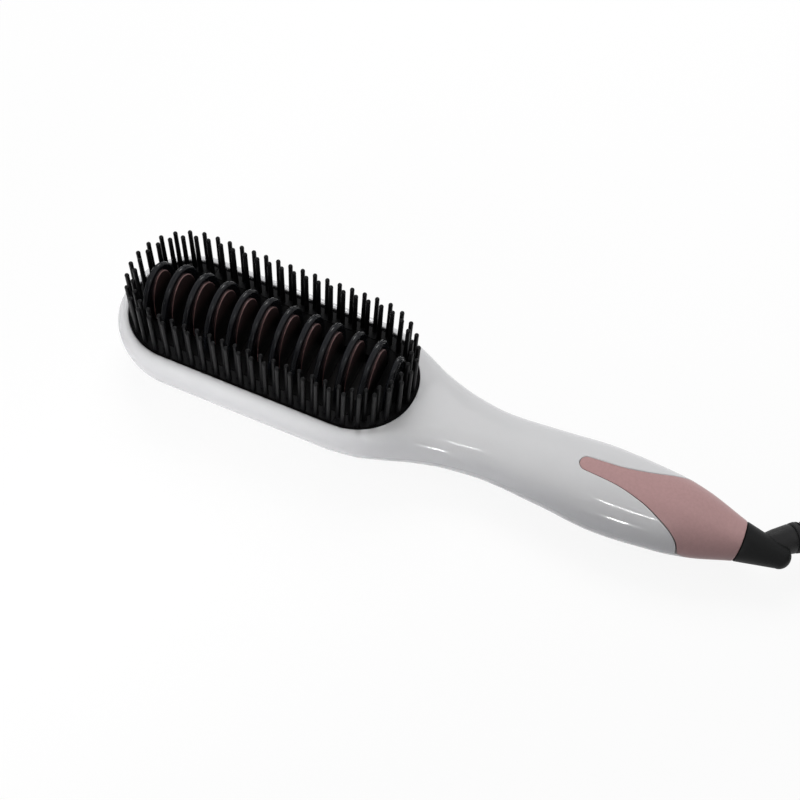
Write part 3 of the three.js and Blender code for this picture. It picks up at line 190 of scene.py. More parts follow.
LEAD = textured(material("lead_insulation", (0.35, 0.32, 0.29), 0.5), 400, 0.06, 0.45, 0.6, 6e-6, 3000)
BRASS = textured(material("plated_blade", (0.62, 0.6, 0.55), 0.25, metallic=1.0),
                 600, 0.05, 0.2, 0.3, 3e-6, 4000)


def painted_shade_fin_material():
    """Painted shade and reflection: the rose gold fin painted dark brown near the top, and nearly black
    towards the plate, with the change between two heights.
    """
    black_below, brown_above = 0.030, 0.037
    mat = textured(material("fin_painted_shade", (0.06, 0.038, 0.038), 0.35, metallic=0.1, specular=0.15),
                   400, 0.2, 0.28, 0.42, 4e-6, 3000)
    shader = mat.node_tree.nodes["Principled BSDF"]
    brown = shader.inputs["Base Color"].links[0].from_node
    coords = node(mat, "ShaderNodeTexCoord")
    split = node(mat, "ShaderNodeSeparateXYZ")
    link(mat, coords, "Object", split, "Vector")
    height = node(mat, "ShaderNodeMapRange", interpolation_type="SMOOTHSTEP")
    height.inputs["From Min"].default_value = black_below
    height.inputs["From Max"].default_value = brown_above
    link(mat, split, "Z", height, "Value")
    mix = node(mat, "ShaderNodeMix", data_type="RGBA")
    link(mat, height, "Result", mix, "Factor")
    mix.inputs[6].default_value = (0.006, 0.0045, 0.0045, 1)
    mat.node_tree.links.new(brown.outputs["Color"], mix.inputs[7])
    mat.node_tree.links.new(mix.outputs[2], shader.inputs["Base Color"])
    return mat


# The fin's face is rose gold with painted shade and reflection in dark brown. Its chamfer is a lighter rose
# copy, as a painted highlight.
FIN_PAINTED_SHADE = painted_shade_fin_material()
FIN_PAINTED_HIGHLIGHT = textured(material("fin_painted_highlight", (0.25, 0.14, 0.135), 0.3, metallic=0.3, specular=0.3),
                    800, 0.06, 0.25, 0.36, 2e-6, 4000)
PLATE = textured(
    material("coated_plate", (0.007, 0.0055, 0.0055), 0.22, coat=0.3, coat_roughness=0.08, specular=0.15),
    300, 0.15, 0.18, 0.28, 4e-6, 3000)

LOOK_OF_SLOT = {"white": WHITE, "rose": ROSE, "black": BLACK, "nylon": NYLON, "fin": FIN_PAINTED_SHADE, "steel": STEEL,
                "ceramic": CERAMIC, "board": BOARD, "window": GLASS, "panel": PANEL, "lead": LEAD,
                "cord": CORD, "blade": BRASS}


# Mesh helpers
def piece(name, vertices, faces, look, slot, body=FIXED, stands_for=(), smooth=30):
    """A named object from points in millimetres, welded, turned outwards and smooth up to an angle."""
    mesh = bpy.data.meshes.new(name)
    mesh.from_pydata([place(*v) for v in vertices], [], faces)
    work = bmesh.new()
    work.from_mesh(mesh)
    bmesh.ops.remove_doubles(work, verts=work.verts, dist=2e-6)
    bmesh.ops.dissolve_degenerate(work, edges=work.edges, dist=1e-7)
    bmesh.ops.recalc_face_normals(work, faces=work.faces)
    work.to_mesh(mesh)
    work.free()
    obj = bpy.data.objects.new(name, mesh)
    bpy.context.scene.collection.objects.link(obj)
    mesh.materials.append(look)
    mesh.polygons.foreach_set("use_smooth", [True] * len(mesh.polygons))
    mesh.set_sharp_from_angle(angle=math.radians(smooth))
    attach(obj, body)
    if stands_for:
        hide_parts(*stands_for)
    return obj


def grid_faces(rows, size, closed=False, start=0):
    """Quads between rows of equal size, laid one after another from index start."""
    faces = []
    wrap = size if closed else size - 1
    for r in range(rows - 1):
        for k in range(wrap):
            a = start + r * size + k
            b = start + r * size + (k + 1) % size
            faces.append((a, b, b + size, a + size))
    return faces


def through(pairs):
    """A smooth value through a few (x, value) pairs, as in the part's source."""
    def secant(i):
        return (pairs[i + 1][1] - pairs[i][1]) / (pairs[i + 1][0] - pairs[i][0])

    last = len(pairs) - 1
    slopes = []
    for i in range(len(pairs)):
        if i in (0, last):
            slopes.append(secant(0) if i == 0 else secant(last - 1))
            continue
        before, after = secant(i - 1), secant(i)
        slopes.append(0 if before * after <= 0 else 2 * before * after / (before + after))

    def value(x):
        if x <= pairs[0][0]:
            return pairs[0][1]
        if x >= pairs[last][0]:
            return pairs[last][1]
        i = max(k for k in range(last) if pairs[k][0] <= x)
        span = pairs[i + 1][0] - pairs[i][0]
        t = (x - pairs[i][0]) / span
        return (pairs[i][1] * (1 + 2 * t) * (1 - t) ** 2 + pairs[i + 1][1] * t * t * (3 - 2 * t)
                + slopes[i] * span * t * (1 - t) ** 2 - slopes[i + 1] * span * t * t * (1 - t))

    return value


# Cord
BOOT_ROOT_X, BOOT_ANGLE, BOOT_LENGTH = 190.8, math.radians(36.87), 46.0
CORD_RADIUS, COIL_RADIUS, COIL_PITCH, COIL_LAYERS = 2.6, 35.0, 6.3, 4
TAIL_RADIUS, RUN_TO_COIL, PLUG_HALF_HEIGHT = 24.0, 46.0, 7.0
ENTRY_ANGLE = BOOT_ANGLE + math.pi / 2
COIL_TURNS = 9 + ENTRY_ANGLE / (2 * math.pi)
COIL_FLOOR = 1.1 + CORD_RADIUS
COIL_TOP = COIL_FLOOR + (COIL_LAYERS - 1) * COIL_PITCH + CORD_RADIUS
PLUG_Z = COIL_TOP + GAP + PLUG_HALF_HEIGHT


def cord_point(along, z):
    """The point at a distance along the boot's heading, at height z."""
    return Vector((BOOT_ROOT_X + along * math.cos(BOOT_ANGLE), along * math.sin(BOOT_ANGLE), z))


def cord_route():
    """The middle line from the boot down to the coil, round its four layers and over them to the plug."""
    start = BOOT_LENGTH + GAP
    straight = 2 * CORD_RADIUS
    end = RUN_TO_COIL - straight - GAP
    line = [cord_point(BOOT_LENGTH, AXIS_Z), cord_point(start + 2, AXIS_Z)]
    for i in range(13):
        t = i / 12
        ease = 2 * t * t if t < 0.5 else 1 - 2 * (1 - t) ** 2
        along = start + straight + (end - 2 * straight) * t
        line.append(cord_point(along, AXIS_Z + (COIL_FLOOR - AXIS_Z) * ease))
    line.append(cord_point(start + end - 1, COIL_FLOOR))
    line.append(cord_point(start + RUN_TO_COIL - straight / 2, COIL_FLOOR))
    entry = Vector((math.cos(ENTRY_ANGLE), math.sin(ENTRY_ANGLE), 0))
    middle = cord_point(start + RUN_TO_COIL, 0) - COIL_RADIUS * entry

    def at(angle, radius, z):
        return middle + Vector((radius * math.cos(angle), radius * math.sin(angle), z))

    per_layer = COIL_TURNS / COIL_LAYERS
    travel = (per_layer - 0.5) * COIL_PITCH
    steps = round(COIL_TURNS * 48)
    for i in range(steps + 1):
        turned = i / steps * COIL_TURNS
        layer = min(int(turned / per_layer), COIL_LAYERS - 1)
        within = turned - layer * per_layer
        moved = min(within * COIL_PITCH, travel)
        climb = max(0, (within - (per_layer - 0.5)) / 0.5)
        radius = COIL_RADIUS - moved if layer % 2 == 0 else COIL_RADIUS - travel + moved
        height = COIL_FLOOR + (layer + climb) * COIL_PITCH
        line.append(at(ENTRY_ANGLE - turned * 2 * math.pi, radius, height))
    for i in range(1, 13):
        t = i / 12
        z = COIL_TOP - CORD_RADIUS + COIL_PITCH
        z += (PLUG_Z - z) * t * t * (3 - 2 * t)
        line.append(at(-t * math.pi / 2, TAIL_RADIUS, z) + Vector((COIL_RADIUS - TAIL_RADIUS, 0, 0)))
    line.append(line[-1] + Vector((-2 * CORD_RADIUS - GAP, 0, 0)))
    return line


route = cord_route()
cord_curve = bpy.data.curves.new("mains_cord", "CURVE")
cord_curve.dimensions = "3D"
spline = cord_curve.splines.new("POLY")
spline.points.add(len(route) - 1)
for point, target in zip(spline.points, route):
    point.co = (*place(*target), 1)
cord_curve.bevel_depth = CORD_RADIUS / 1000
cord_curve.bevel_resolution = 4
cord_curve.use_fill_caps = True
cord_curve.materials.append(CORD)
mains_cord = bpy.data.objects.new("mains_cord", cord_curve)
bpy.context.scene.collection.objects.link(mains_cord)
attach(mains_cord, CORD_SET)
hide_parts("cord", "cord_coil")


# Body skins
def easing(x0, v0, x1, v1, steps=()):
    """Pairs from (x0, v0) to (x1, v1) by (share of the way, share of the change), as in the source."""
    return [(x0 + (x1 - x0) * t, v0 + (v1 - v0) * c) for t, c in [(0, 0), *steps, (1, 1)]]


BED_START, BED_END = PANEL_START + 5, PANEL_END - 5
NECK_EASING = [(0.175, 0.1), (0.355, 0.36), (0.547, 0.67), (0.756, 0.885)]
FLAT_EASING = [(0.175, 0.06), (0.355, 0.32), (0.547, 0.68), (0.791, 0.94)]
TONGUE_EASING = [(0.22, 0.06), (0.51, 0.28), (0.73, 0.57), (0.89, 0.8)]
body_half = through(easing(HEAD_HALF, HEAD_RADIUS, NECK_X, NECK_HALF, NECK_EASING)
                    + easing(NECK_X, NECK_HALF, GRIP_X, GRIP_HALF, [(0.48, 0.42)])[1:]
                    + easing(WAIST_X, WAIST_HALF, HANDLE_END, END_RADIUS, [(0.42, 0.286)]))
body_top = through([(HEAD_HALF + 0.44 * (NECK_X - HEAD_HALF), BODY_HEIGHT), (NECK_X, NECK_TOP),
                    (GRIP_X, GRIP_TOP), (WAIST_X, WAIST_TOP), (HANDLE_END, AXIS_Z + END_RADIUS)])
body_mid = through(easing(HEAD_HALF, BODY_HEIGHT - RIM_ROLL, NECK_X, PART_Z, [(0.58, 0.75)])
                   + [(GRIP_X, PART_Z), (WAIST_X, AXIS_Z), (HANDLE_END, AXIS_Z)])
body_back = through(easing(HEAD_HALF, 0, BED_START, NECK_BACK, [(0.69, 0.54)])
                    + [(BED_END, NECK_BACK), (GRIP_X, 0), (GRIP_X + 0.17 * (WAIST_X - GRIP_X), 0),
                       (WAIST_X, WAIST_BACK), (HANDLE_END, AXIS_Z - END_RADIUS)])
flat_top = through(easing(HEAD_HALF, INSERT_RADIUS + RIM_LIP, NECK_X, SLIM_FLAT, FLAT_EASING))
flat_back = through(easing(HEAD_HALF, BACK_FLAT / 2, BED_START, BED_FLAT, [(0.56, 0.78)])
                    + [(BED_END, BED_FLAT), (GRIP_X, SLIM_FLAT)])
TONGUE_END = RING_TOP_X - TONGUE_OVERLAP
tongue_half = through(easing(TONGUE_X + 2 * TONGUE_NOSE, TONGUE_NOSE + TONGUE_FLARE,
                             TONGUE_END, body_half(TONGUE_END) + TONGUE_OVERLAP, TONGUE_EASING))


def border_x(z):
    """Where the sleeve's ring begins at height z."""
    return RING_TOP_X + (RING_X - RING_TOP_X) * min(max((PART_Z - z) / SLANT_DEPTH, 0), 1)


def tongue_edge(x, margin=0.0):
    """Half width of the tongue's outline at x, grown by margin; zero before its nose."""
    nose_x, reach = TONGUE_X + TONGUE_NOSE, TONGUE_NOSE + margin
    if x <= nose_x - reach:
        return 0.0
    if x < nose_x:
        return math.sqrt(reach ** 2 - (x - nose_x) ** 2)
    if x < TONGUE_X + 2 * TONGUE_NOSE:
        share = (x - nose_x) / TONGUE_NOSE
        return reach + TONGUE_FLARE * share
    return tongue_half(x + margin) + margin


def section(x, fine=40):
    """Points (y, z) of half the body's section, from the middle of the top to the middle of the back."""
    half, top, mid, low = body_half(x), body_top(x), body_mid(x), body_back(x)
    flat_a, flat_b = min(flat_top(x), half - 3), min(flat_back(x), half - 3)
    points = [(flat_a * i / fine, top) for i in range(fine)]
    for i in range(fine + 1):
        angle = i / fine * math.pi / 2
        points.append((flat_a + (half - flat_a) * math.sin(angle), mid + (top - mid) * math.cos(angle)))
    for i in range(1, fine + 1):
        angle = i / fine * math.pi / 2
        points.append((flat_b + (half - flat_b) * math.cos(angle), mid - (mid - low) * math.sin(angle)))
    points += [(flat_b * (1 - i / fine), low) for i in range(1, fine + 1)]
    return points


def crossing(a, b, value, axis):
    """The point between a and b whose coordinate of that axis has the value."""
    t = (value - a[axis]) / (b[axis] - a[axis])
    return (a[0] + (b[0] - a[0]) * t, a[1] + (b[1] - a[1]) * t)


def between(points, y_from=0.0, z_to=None, z_from=None, y_to=None):
    """The stretch of a section after it has passed y_from or z_from and before it passes z_to or y_to."""
    out = list(points)
    if y_from > 0:
        k = next((i for i in range(1, len(out)) if out[i][0] >= y_from > out[i - 1][0]), None)
        if k is None:
            return []
        out = [crossing(out[k - 1], out[k], y_from, 0)] + out[k:]
    if z_from is not None:
        k = next(i for i in range(1, len(out)) if out[i][1] < z_from <= out[i - 1][1])
        out = [crossing(out[k - 1], out[k], z_from, 1)] + out[k:]
    if y_to is not None:
        k = next((i for i in range(1, len(out)) if out[i][0] >= y_to > out[i - 1][0]), None)
        if k is not None:
            return out[:k] + [crossing(out[k - 1], out[k], y_to, 0)]
    if z_to is not None:
        k = next(i for i in range(1, len(out)) if out[i][1] < z_to <= out[i - 1][1])
        out = out[:k] + [crossing(out[k - 1], out[k], z_to, 1)]
    return out


def resample(points, count):
    """count points at even steps along a line of (y, z) points."""
    lengths = [0.0]
    for a, b in zip(points, points[1:]):
        lengths.append(lengths[-1] + math.dist(a, b))
    out, k = [], 0
    for i in range(count):
        goal = lengths[-1] * i / (count - 1)
        while k < len(points) - 2 and lengths[k + 1] < goal:
            k += 1
        span = lengths[k + 1] - lengths[k]
        t = 0 if span == 0 else (goal - lengths[k]) / span
        out.append((points[k][0] + (points[k + 1][0] - points[k][0]) * t,
                    points[k][1] + (points[k + 1][1] - points[k][1]) * t))
    return out


def rounded_start(points, size=0.5):
    """The same stretch with a small rounded edge where it begins, turning down into the pocket."""
    y, z = points[0]
    edge = [(y, z - 1.2)]
    for across, down in ((0, 1), (0.1, 0.62), (0.32, 0.26), (0.62, 0.08)):
        edge.append((y + across * size, z - down * size))
    return edge + between(points, y + size)


def even(low, high, count):
    """count values at even steps from low to high."""
    return [low + (high - low) * i / (count - 1) for i in range(count)]


def mirrored(rows):
    """Vertices and faces of rows of points, and of the same rows on the other side."""
    vertices, faces = [], []
    for sign in (1, -1):
        faces += grid_faces(len(rows), len(rows[0]), start=len(vertices))
        vertices += [(x, sign * y, z) for row in rows for x, y, z in row]
    return vertices, faces


def turned_tip(row, start, turns=64):
    """The row of (y, z) points at the head's middle turned round the end of the head."""
    vertices = []
    for i in range(turns + 1):
        angle = math.pi / 2 + math.pi * i / turns
        vertices += [(-HEAD_HALF + r * math.cos(angle), r * math.sin(angle), z) for r, z in row]
    return vertices, grid_faces(turns + 1, len(row), start=start)


def walled(obj, thickness=WALL):
    """Gives a surface a wall to its inner side."""
    solid = obj.modifiers.new("wall", "SOLIDIFY")
    solid.thickness = thickness / 1000
    solid.offset = -1.0
    solid.use_even_offset = True


FRONT_ROWS = 40
POCKET = INSERT_RADIUS + GAP
HAIRLINE = 0.02


def front_row(x):
    """The front skin's row at x, or None where the tongue takes the whole width."""
    points = section(x)
    if x <= HEAD_HALF + POCKET:
        start = math.sqrt(max(POCKET ** 2 - max(x - HEAD_HALF, 0) ** 2, 1e-6))
        points = rounded_start(between(points, max(start, 1e-3), z_to=PART_Z + HAIRLINE))
        return points[:5] + resample(points[5:], FRONT_ROWS - 5)
    points = between(points, tongue_edge(x, SEAM), z_to=PART_Z + HAIRLINE)
    return points[:1] * 5 + resample(points, FRONT_ROWS - 5) if points else None


def build_front():
    """The front skin: the rim round the pocket, the neck, and the handle beside the tongue."""
    arc = [HEAD_HALF + POCKET * math.sin(math.radians(a)) for a in even(0, 90, 26)]
    reach = TONGUE_NOSE + SEAM
    nose = [TONGUE_X + TONGUE_NOSE - reach * math.cos(math.radians(a)) for a in even(0, 90, 10)]
    stations = even(-HEAD_HALF, HEAD_HALF, 12)[:-1] + arc
    stations += even(HEAD_HALF + POCKET + 0.8, nose[0] - 1.2, 40) + nose
    stations += even(TONGUE_X + TONGUE_NOSE + 1, TONGUE_END, 60)
    rows = [(x, front_row(x)) for x in stations]
    vertices, faces = mirrored([[(x, y, z) for y, z in row] for x, row in rows if row])
    more, sides = turned_tip(front_row(-HEAD_HALF), len(vertices))
    skin = piece("front_skin", vertices + more, faces + sides, WHITE, "white",
                 stands_for=["front_shell"], smooth=35)
    walled(skin)


BACK_ROWS = 30


def back_row(x, size=BACK_ROWS, z_from=PART_Z - HAIRLINE):
    """The lower half's row at x, from z_from to the middle of the back."""
    return resample(between(section(x), z_from=z_from), size)


def to_border(x_from, x_to, share, size, z_from, shift=0.0):
    """A row of the lower half between two ends, where either end may follow the slanting border."""
    heights = [z for y, z in back_row(RING_TOP_X, size, z_from)]
    row = []
    for k, height in enumerate(heights):
        low = border_x(height) - shift if x_from is None else x_from
        high = border_x(height) - shift if x_to is None else x_to
        x = low + (high - low) * share
        y, z = back_row(x, size, z_from)[k]
        row.append((x, y, z))
    return row


def carved(obj, *tools):
    """Cuts the tools' meshes out of the object for good and removes the tools."""
    for tool in tools:
        cut = obj.modifiers.new("cut", "BOOLEAN")
        cut.object, cut.operation, cut.solver = tool, "DIFFERENCE", "EXACT"
    bpy.context.view_layer.update()
    result = bpy.data.meshes.new_from_object(obj.evaluated_get(bpy.context.evaluated_depsgraph_get()))
    obj.modifiers.clear()
    obj.data = result
    result.set_sharp_from_angle(angle=math.radians(35))
    for tool in tools:
        bpy.data.objects.remove(tool)


def cutter(vertices, faces):
    """A solid for carved() to cut away."""
    mesh = bpy.data.meshes.new("cutter")
    mesh.from_pydata([place(*v) for v in vertices], [], faces)
    work = bmesh.new()
    work.from_mesh(mesh)
    bmesh.ops.recalc_face_normals(work, faces=work.faces)
    work.to_mesh(mesh)
    work.free()
    obj = bpy.data.objects.new("cutter", mesh)
    bpy.context.scene.collection.objects.link(obj)
    return obj


def raised(outline, low, high):
    """Vertices and faces of a plan outline of (x, y) points raised from low to high."""
    count = len(outline)
    vertices = [(x, y, low) for x, y in outline] + [(x, y, high) for x, y in outline]
    faces = [tuple(range(count)), tuple(range(count, 2 * count))]
    faces += [(i, (i + 1) % count, (i + 1) % count + count, i + count) for i in range(count)]
    return vertices, faces


def rounded_plan(x0, x1, half, radius, steps=8):
    """Plan outline of a rectangle with rounded corners."""
    plan = []
    for cx, cy, start in ((x1 - radius, -half + radius, -90), (x1 - radius, half - radius, 0),
                          (x0 + radius, half - radius, 90), (x0 + radius, -half + radius, 180)):
        for i in range(steps + 1):
            angle = math.radians(start + 90 * i / steps)
            plan.append((cx + radius * math.cos(angle), cy + radius * math.sin(angle)))
    return plan


def disc(x, radius, sides=64):
    """Plan outline of a circle on the middle line."""
    return [(x + radius * math.cos(2 * math.pi * k / sides), radius * math.sin(2 * math.pi * k / sides))
            for k in range(sides)]


def bevelled(obj, width, segments=2, limit=50):
    """Rounds the edges that are sharper than the limit in degrees."""
    edge = obj.modifiers.new("edge", "BEVEL")
    edge.width, edge.segments = width / 1000, segments
    edge.limit_method = "ANGLE"
    edge.angle_limit = math.radians(limit)


def key_holes():
    """Cutters for the holes of the three keys."""
    return [cutter(*raised(disc(x, radius + GAP), CUT_LOW, CUT_HIGH)) for x, radius in BUTTONS.values()]


def build_back():
    """The back skin with the panel's opening. From bend on, its rows lean over to the sleeve's border."""
    bend, bend_steps = 150.0, 14
    stations = even(-HEAD_HALF, HEAD_HALF, 6)[:-1] + even(HEAD_HALF, bend, 80)
    rows = [[(x, y, z) for y, z in back_row(x)] for x in stations]
    for i in range(1, bend_steps + 1):
        rows.append(to_border(bend, None, i / bend_steps, BACK_ROWS, PART_Z - HAIRLINE, SEAM * 1.3))
    vertices, faces = mirrored(rows)
    more, sides = turned_tip(back_row(HEAD_HALF), len(vertices))
    skin = piece("back_skin", vertices + more, faces + sides, WHITE, "white",
                 stands_for=["back_shell"], smooth=35)
    walled(skin)
    plan = rounded_plan(PANEL_START - GAP, PANEL_END + GAP, PANEL_HALF + GAP, PANEL_MARGIN)
    carved(skin, cutter(*raised(plan, CUT_LOW, CUT_HIGH + 1)))


def build_panel():
    """The bed under the panel, and the panel itself with the window's opening, both with the keys' holes."""
    plan = rounded_plan(PANEL_START - 2, PANEL_END + 2, PANEL_HALF + 2, PANEL_MARGIN)
    bed = piece("panel_bed", *raised(plan, PANEL_BED, PAD_TOP), WHITE, "white")
    window = rounded_plan(WINDOW_START + 1, WINDOW_END - 1, WINDOW_HALF - 0.6, 0.5)
    carved(bed, cutter(*raised(window, CUT_LOW, CUT_HIGH)), *key_holes())
    plan = rounded_plan(PANEL_START, PANEL_END, PANEL_HALF, PANEL_MARGIN)
    panel = piece("panel_plate", *raised(plan, PANEL_FACE, PANEL_TOP), PANEL, "panel",
                  stands_for=["control_panel"])
    window = rounded_plan(WINDOW_START - GAP, WINDOW_END + GAP, WINDOW_HALF + GAP, 0.4)
    carved(panel, cutter(*raised(window, CUT_LOW, CUT_HIGH)), *key_holes())
    bevelled(panel, 0.15)


def build_sleeve():
    """The rose sleeve: the tongue on top, and the ring round the end of the handle."""
    upper, lower, count = 28, 18, 16
    reach = [TONGUE_X + TONGUE_NOSE * (1 - math.cos(math.radians(a))) for a in even(0, 90, 10)]

    def upper_row(x):
        edge = max(tongue_edge(x), 1e-3) if x < TONGUE_END else 1e3
        return [(x, y, z) for y, z in resample(between(section(x), z_to=PART_Z, y_to=edge), upper)]

    tongue = [upper_row(x) for x in reach + even(reach[-1] + 0.8, RING_TOP_X, 56)]
    end = HANDLE_END - 0.5
    ring = [upper_row(x) for x in even(RING_TOP_X, end, count)]
    under = [to_border(None, end, i / (count - 1), lower, PART_Z) for i in range(count)]
    for rows in (ring, under):
        last = [(y, z - AXIS_Z) for x, y, z in rows[-1]]
        for step, shrink in ((0.25, 0.01), (0.42, 0.025), (0.5, 0.045)):
            rows.append([(end + step, y * (1 - shrink), AXIS_Z + z * (1 - shrink)) for y, z in last])
    vertices, faces = mirrored(tongue)
    for rows in (ring, under):
        more, sides = mirrored(rows)
        faces += [tuple(i + len(vertices) for i in face) for face in sides]
        vertices += more
    obj = piece("rose_sleeve", vertices, faces, ROSE, "rose", stands_for=["handle_sleeve"], smooth=35)
    walled(obj)
    bevelled(obj, 0.1)


build_front()
build_back()
build_panel()
build_sleeve()


# Comb, pins, guard arches and fins
PERIMETER = 4 * HEAD_HALF + 2 * math.pi * ROW_RADIUS


def stadium_point(along, radius):
    """The point at a length along the stadium of the pins' rows, drawn with another radius."""
    arc = math.pi * ROW_RADIUS
    s = along % PERIMETER
    if s < HEAD_HALF:
        return s, -radius
    if s < HEAD_HALF + arc:
        angle = (s - HEAD_HALF) / ROW_RADIUS - math.pi / 2
        return HEAD_HALF + radius * math.cos(angle), radius * math.sin(angle)
    if s < 3 * HEAD_HALF + arc:
        return 2 * HEAD_HALF + arc - s, radius
    if s < 3 * HEAD_HALF + 2 * arc:
        angle = (s - 3 * HEAD_HALF - arc) / ROW_RADIUS + math.pi / 2
        return -HEAD_HALF + radius * math.cos(angle), radius * math.sin(angle)
    return s - PERIMETER, -radius


def lathe(profile, sides, frame_of):
    """Vertices and faces of a profile of (along, radius) turned about an axis, closed at both ends.

    frame_of makes a point of a place along the axis and two distances across it."""
    vertices = []
    for along, radius in profile:
        for k in range(sides):
            angle = 2 * math.pi * k / sides
            vertices.append(frame_of(along, radius * math.cos(angle), radius * math.sin(angle)))
    faces = grid_faces(len(profile), sides, closed=True)
    faces.append(tuple(range(sides)))
    faces.append(tuple(range((len(profile) - 1) * sides, len(profile) * sides)))
    return vertices, faces


def pin_mesh(x, y):
    """A nylon pin with a wider root and a small bead at its tip."""
    root = [(-0.6, 0.1), (0.25, 0.04), (1.0, 0)]
    tip = [(5, 0), (1.6, 0.02), (0.9, -0.02), (0.45, 0.06), (0.18, 0.26), (0.04, 0.55),
           (0, PIN_TIP_RADIUS - 0.02)]
    profile = [(COMB_TOP + rise, PIN_RADIUS + more) for rise, more in root]
    profile += [(PIN_TOP - drop, PIN_TIP_RADIUS - less) for drop, less in tip]
    return lathe(profile, 14, lambda along, u, v: (x + u, y + v, along))


def strip_plan(inner, outer, low, high):
    """Outline of a strip between two offsets, over the stretch of stadium length from low to high."""
    count = 60
    ring = [stadium_point(low + (high - low) * i / count, outer) for i in range(count + 1)]
    ring += [stadium_point(low + (high - low) * (count - i) / count, inner) for i in range(count + 1)]
    return ring


def build_strips():
    """The four strips, each one piece with its pins, which stand in two staggered rows."""
    side_end = HEAD_HALF - SIDE_MARGIN
    side_step = 2 * side_end / (SIDE_PINS - 1)
    arc_step = (PERIMETER / 2 - 2 * side_end) / (ARC_PINS + 1)
    outer_row = [-side_end + i * side_step for i in range(SIDE_PINS)]
    outer_row += [side_end + k * arc_step for k in range(1, ARC_PINS + 1)]
    inner_row = [-side_end + (i + 0.5) * side_step for i in range(SIDE_PINS - 1)]
    inner_row += [side_end + (k + 0.5) * arc_step for k in range(ARC_PINS + 1)]
    pins = []
    for shift in (0, PERIMETER / 2):
        pins += [stadium_point(along + shift, ROW_RADIUS) for along in outer_row]
        pins += [stadium_point(along + shift, ROW_RADIUS - ROW_STEP) for along in inner_row]
    far = PERIMETER / 2
    cut = HEAD_HALF - GAP
    spans = {
        "pin_strip_right": (-cut, cut, lambda x, y: abs(x) < cut - GAP and y < 0),
        "pin_strip_left": (far - cut, far + cut, lambda x, y: abs(x) < cut - GAP and y > 0),
        "pin_strip_neck": (cut + GAP, far - cut - GAP, lambda x, y: x > cut - GAP),
        "pin_strip_tip": (far + cut + GAP, PERIMETER - cut - GAP, lambda x, y: x < GAP - cut),
    }
    inner, outer = ROW_RADIUS - ROW_STEP - STRIP_MARGIN, ROW_RADIUS + STRIP_MARGIN - GAP
    for name, (low, high, holds) in spans.items():
        plan = strip_plan(inner, outer, low, high)
        count = len(plan)
        vertices = [(x, y, COMB_TOP - STRIP_THICK) for x, y in plan] + [(x, y, COMB_TOP) for x, y in plan]
        half = count // 2
        faces = [(i, i + 1, i + 1 + count, i + count) for i in range(count - 1)]
        faces.append((count - 1, 0, count, 2 * count - 1))
        for i in range(half - 1):
            a, b, c, d = i, i + 1, count - 2 - i, count - 1 - i
            faces += [(a, b, c, d), (a + count, b + count, c + count, d + count)]
        for x, y in pins:
            if holds(x, y):
                more, sides = pin_mesh(x, y)
                start = len(vertices)
                vertices += more
                faces += [tuple(i + start for i in face) for face in sides]
        piece(f"{name}_pins", vertices, faces, NYLON, "nylon", stands_for=[name], smooth=40)


build_strips()


def build_comb():
    """The comb plate: rounded edge, groove for the strips, open in the middle over the fins."""
    count = 240
    inner, outer = ROW_RADIUS - ROW_STEP - STRIP_MARGIN - GAP, ROW_RADIUS + STRIP_MARGIN
    low, floor = COMB_TOP - COMB_THICK, COMB_TOP - STRIP_THICK - GAP
    profile = [(INSERT_RADIUS, low), (INSERT_RADIUS, COMB_TOP - 0.2), (INSERT_RADIUS - 0.06, COMB_TOP - 0.06),
               (INSERT_RADIUS - 0.2, COMB_TOP), (outer, COMB_TOP), (outer, floor), (inner, floor),
               (inner, COMB_TOP)]
    vertices = []
    for radius, z in profile:
        vertices += [(*stadium_point(PERIMETER * i / count, radius), z) for i in range(count)]
    middle, length = (FIN_START + FIN_END) / 2, FIN_END - FIN_START + 2 * GAP
    for z in (COMB_TOP, low):
        for i in range(count):
            x, y = stadium_point(PERIMETER * i / count, ROW_RADIUS)
            if abs(x) < HEAD_HALF:
                vertices.append((middle + x / HEAD_HALF * length / 2, math.copysign(FIN_OPENING_HALF, y), z))
            else:
                across = y / ROW_RADIUS * FIN_OPENING_HALF
                vertices.append((middle + math.copysign(length / 2, x), across, z))
    rings = len(profile) + 2
    faces = grid_faces(rings, count, closed=True)
    last = (rings - 1) * count
    faces += [(last + k, last + (k + 1) % count, (k + 1) % count, k) for k in range(count)]
    piece("comb_plate", vertices, faces, COMB, "black", stands_for=["comb_base"], smooth=35)


LAST_ARCH = ARCH_COUNT - 1
END_HALVES = {0: FIRST_ARCH_HALF, LAST_ARCH: LAST_ARCH_HALF}


def arch_sizes(index):
    """Place and sizes of an arch and of the fin inside it. The first and the last arch are smaller."""
    at_end = index in END_HALVES
    return {"x": ARCH_SHIFT + (index - LAST_ARCH / 2) * ARCH_PITCH,
            "half": END_HALVES.get(index, ARCH_HALF), "top": END_ARCH_TOP if at_end else ARCH_TOP,
            "fin_half": END_FIN_HALF if at_end else FIN_HALF, "fin_top": END_FIN_TOP if at_end else FIN_TOP}


ARCHES = [arch_sizes(i) for i in range(ARCH_COUNT)]
FIN_START = ARCHES[0]["x"] - ARCH_THICK / 2
FIN_END = ARCHES[LAST_ARCH - 1]["x"] + ARCH_THICK / 2 + FIN_LEDGE


def half_ellipse(half, top, foot, steps=56):
    """(y, z) points of a half ellipse on legs that reach down to foot."""
    points = [(-half, foot)]
    for i in range(steps + 1):
        angle = math.pi - math.pi * i / steps
        points.append((half * math.cos(angle), ARCH_BASE + (top - ARCH_BASE) * math.sin(angle)))
    return points + [(half, foot)]


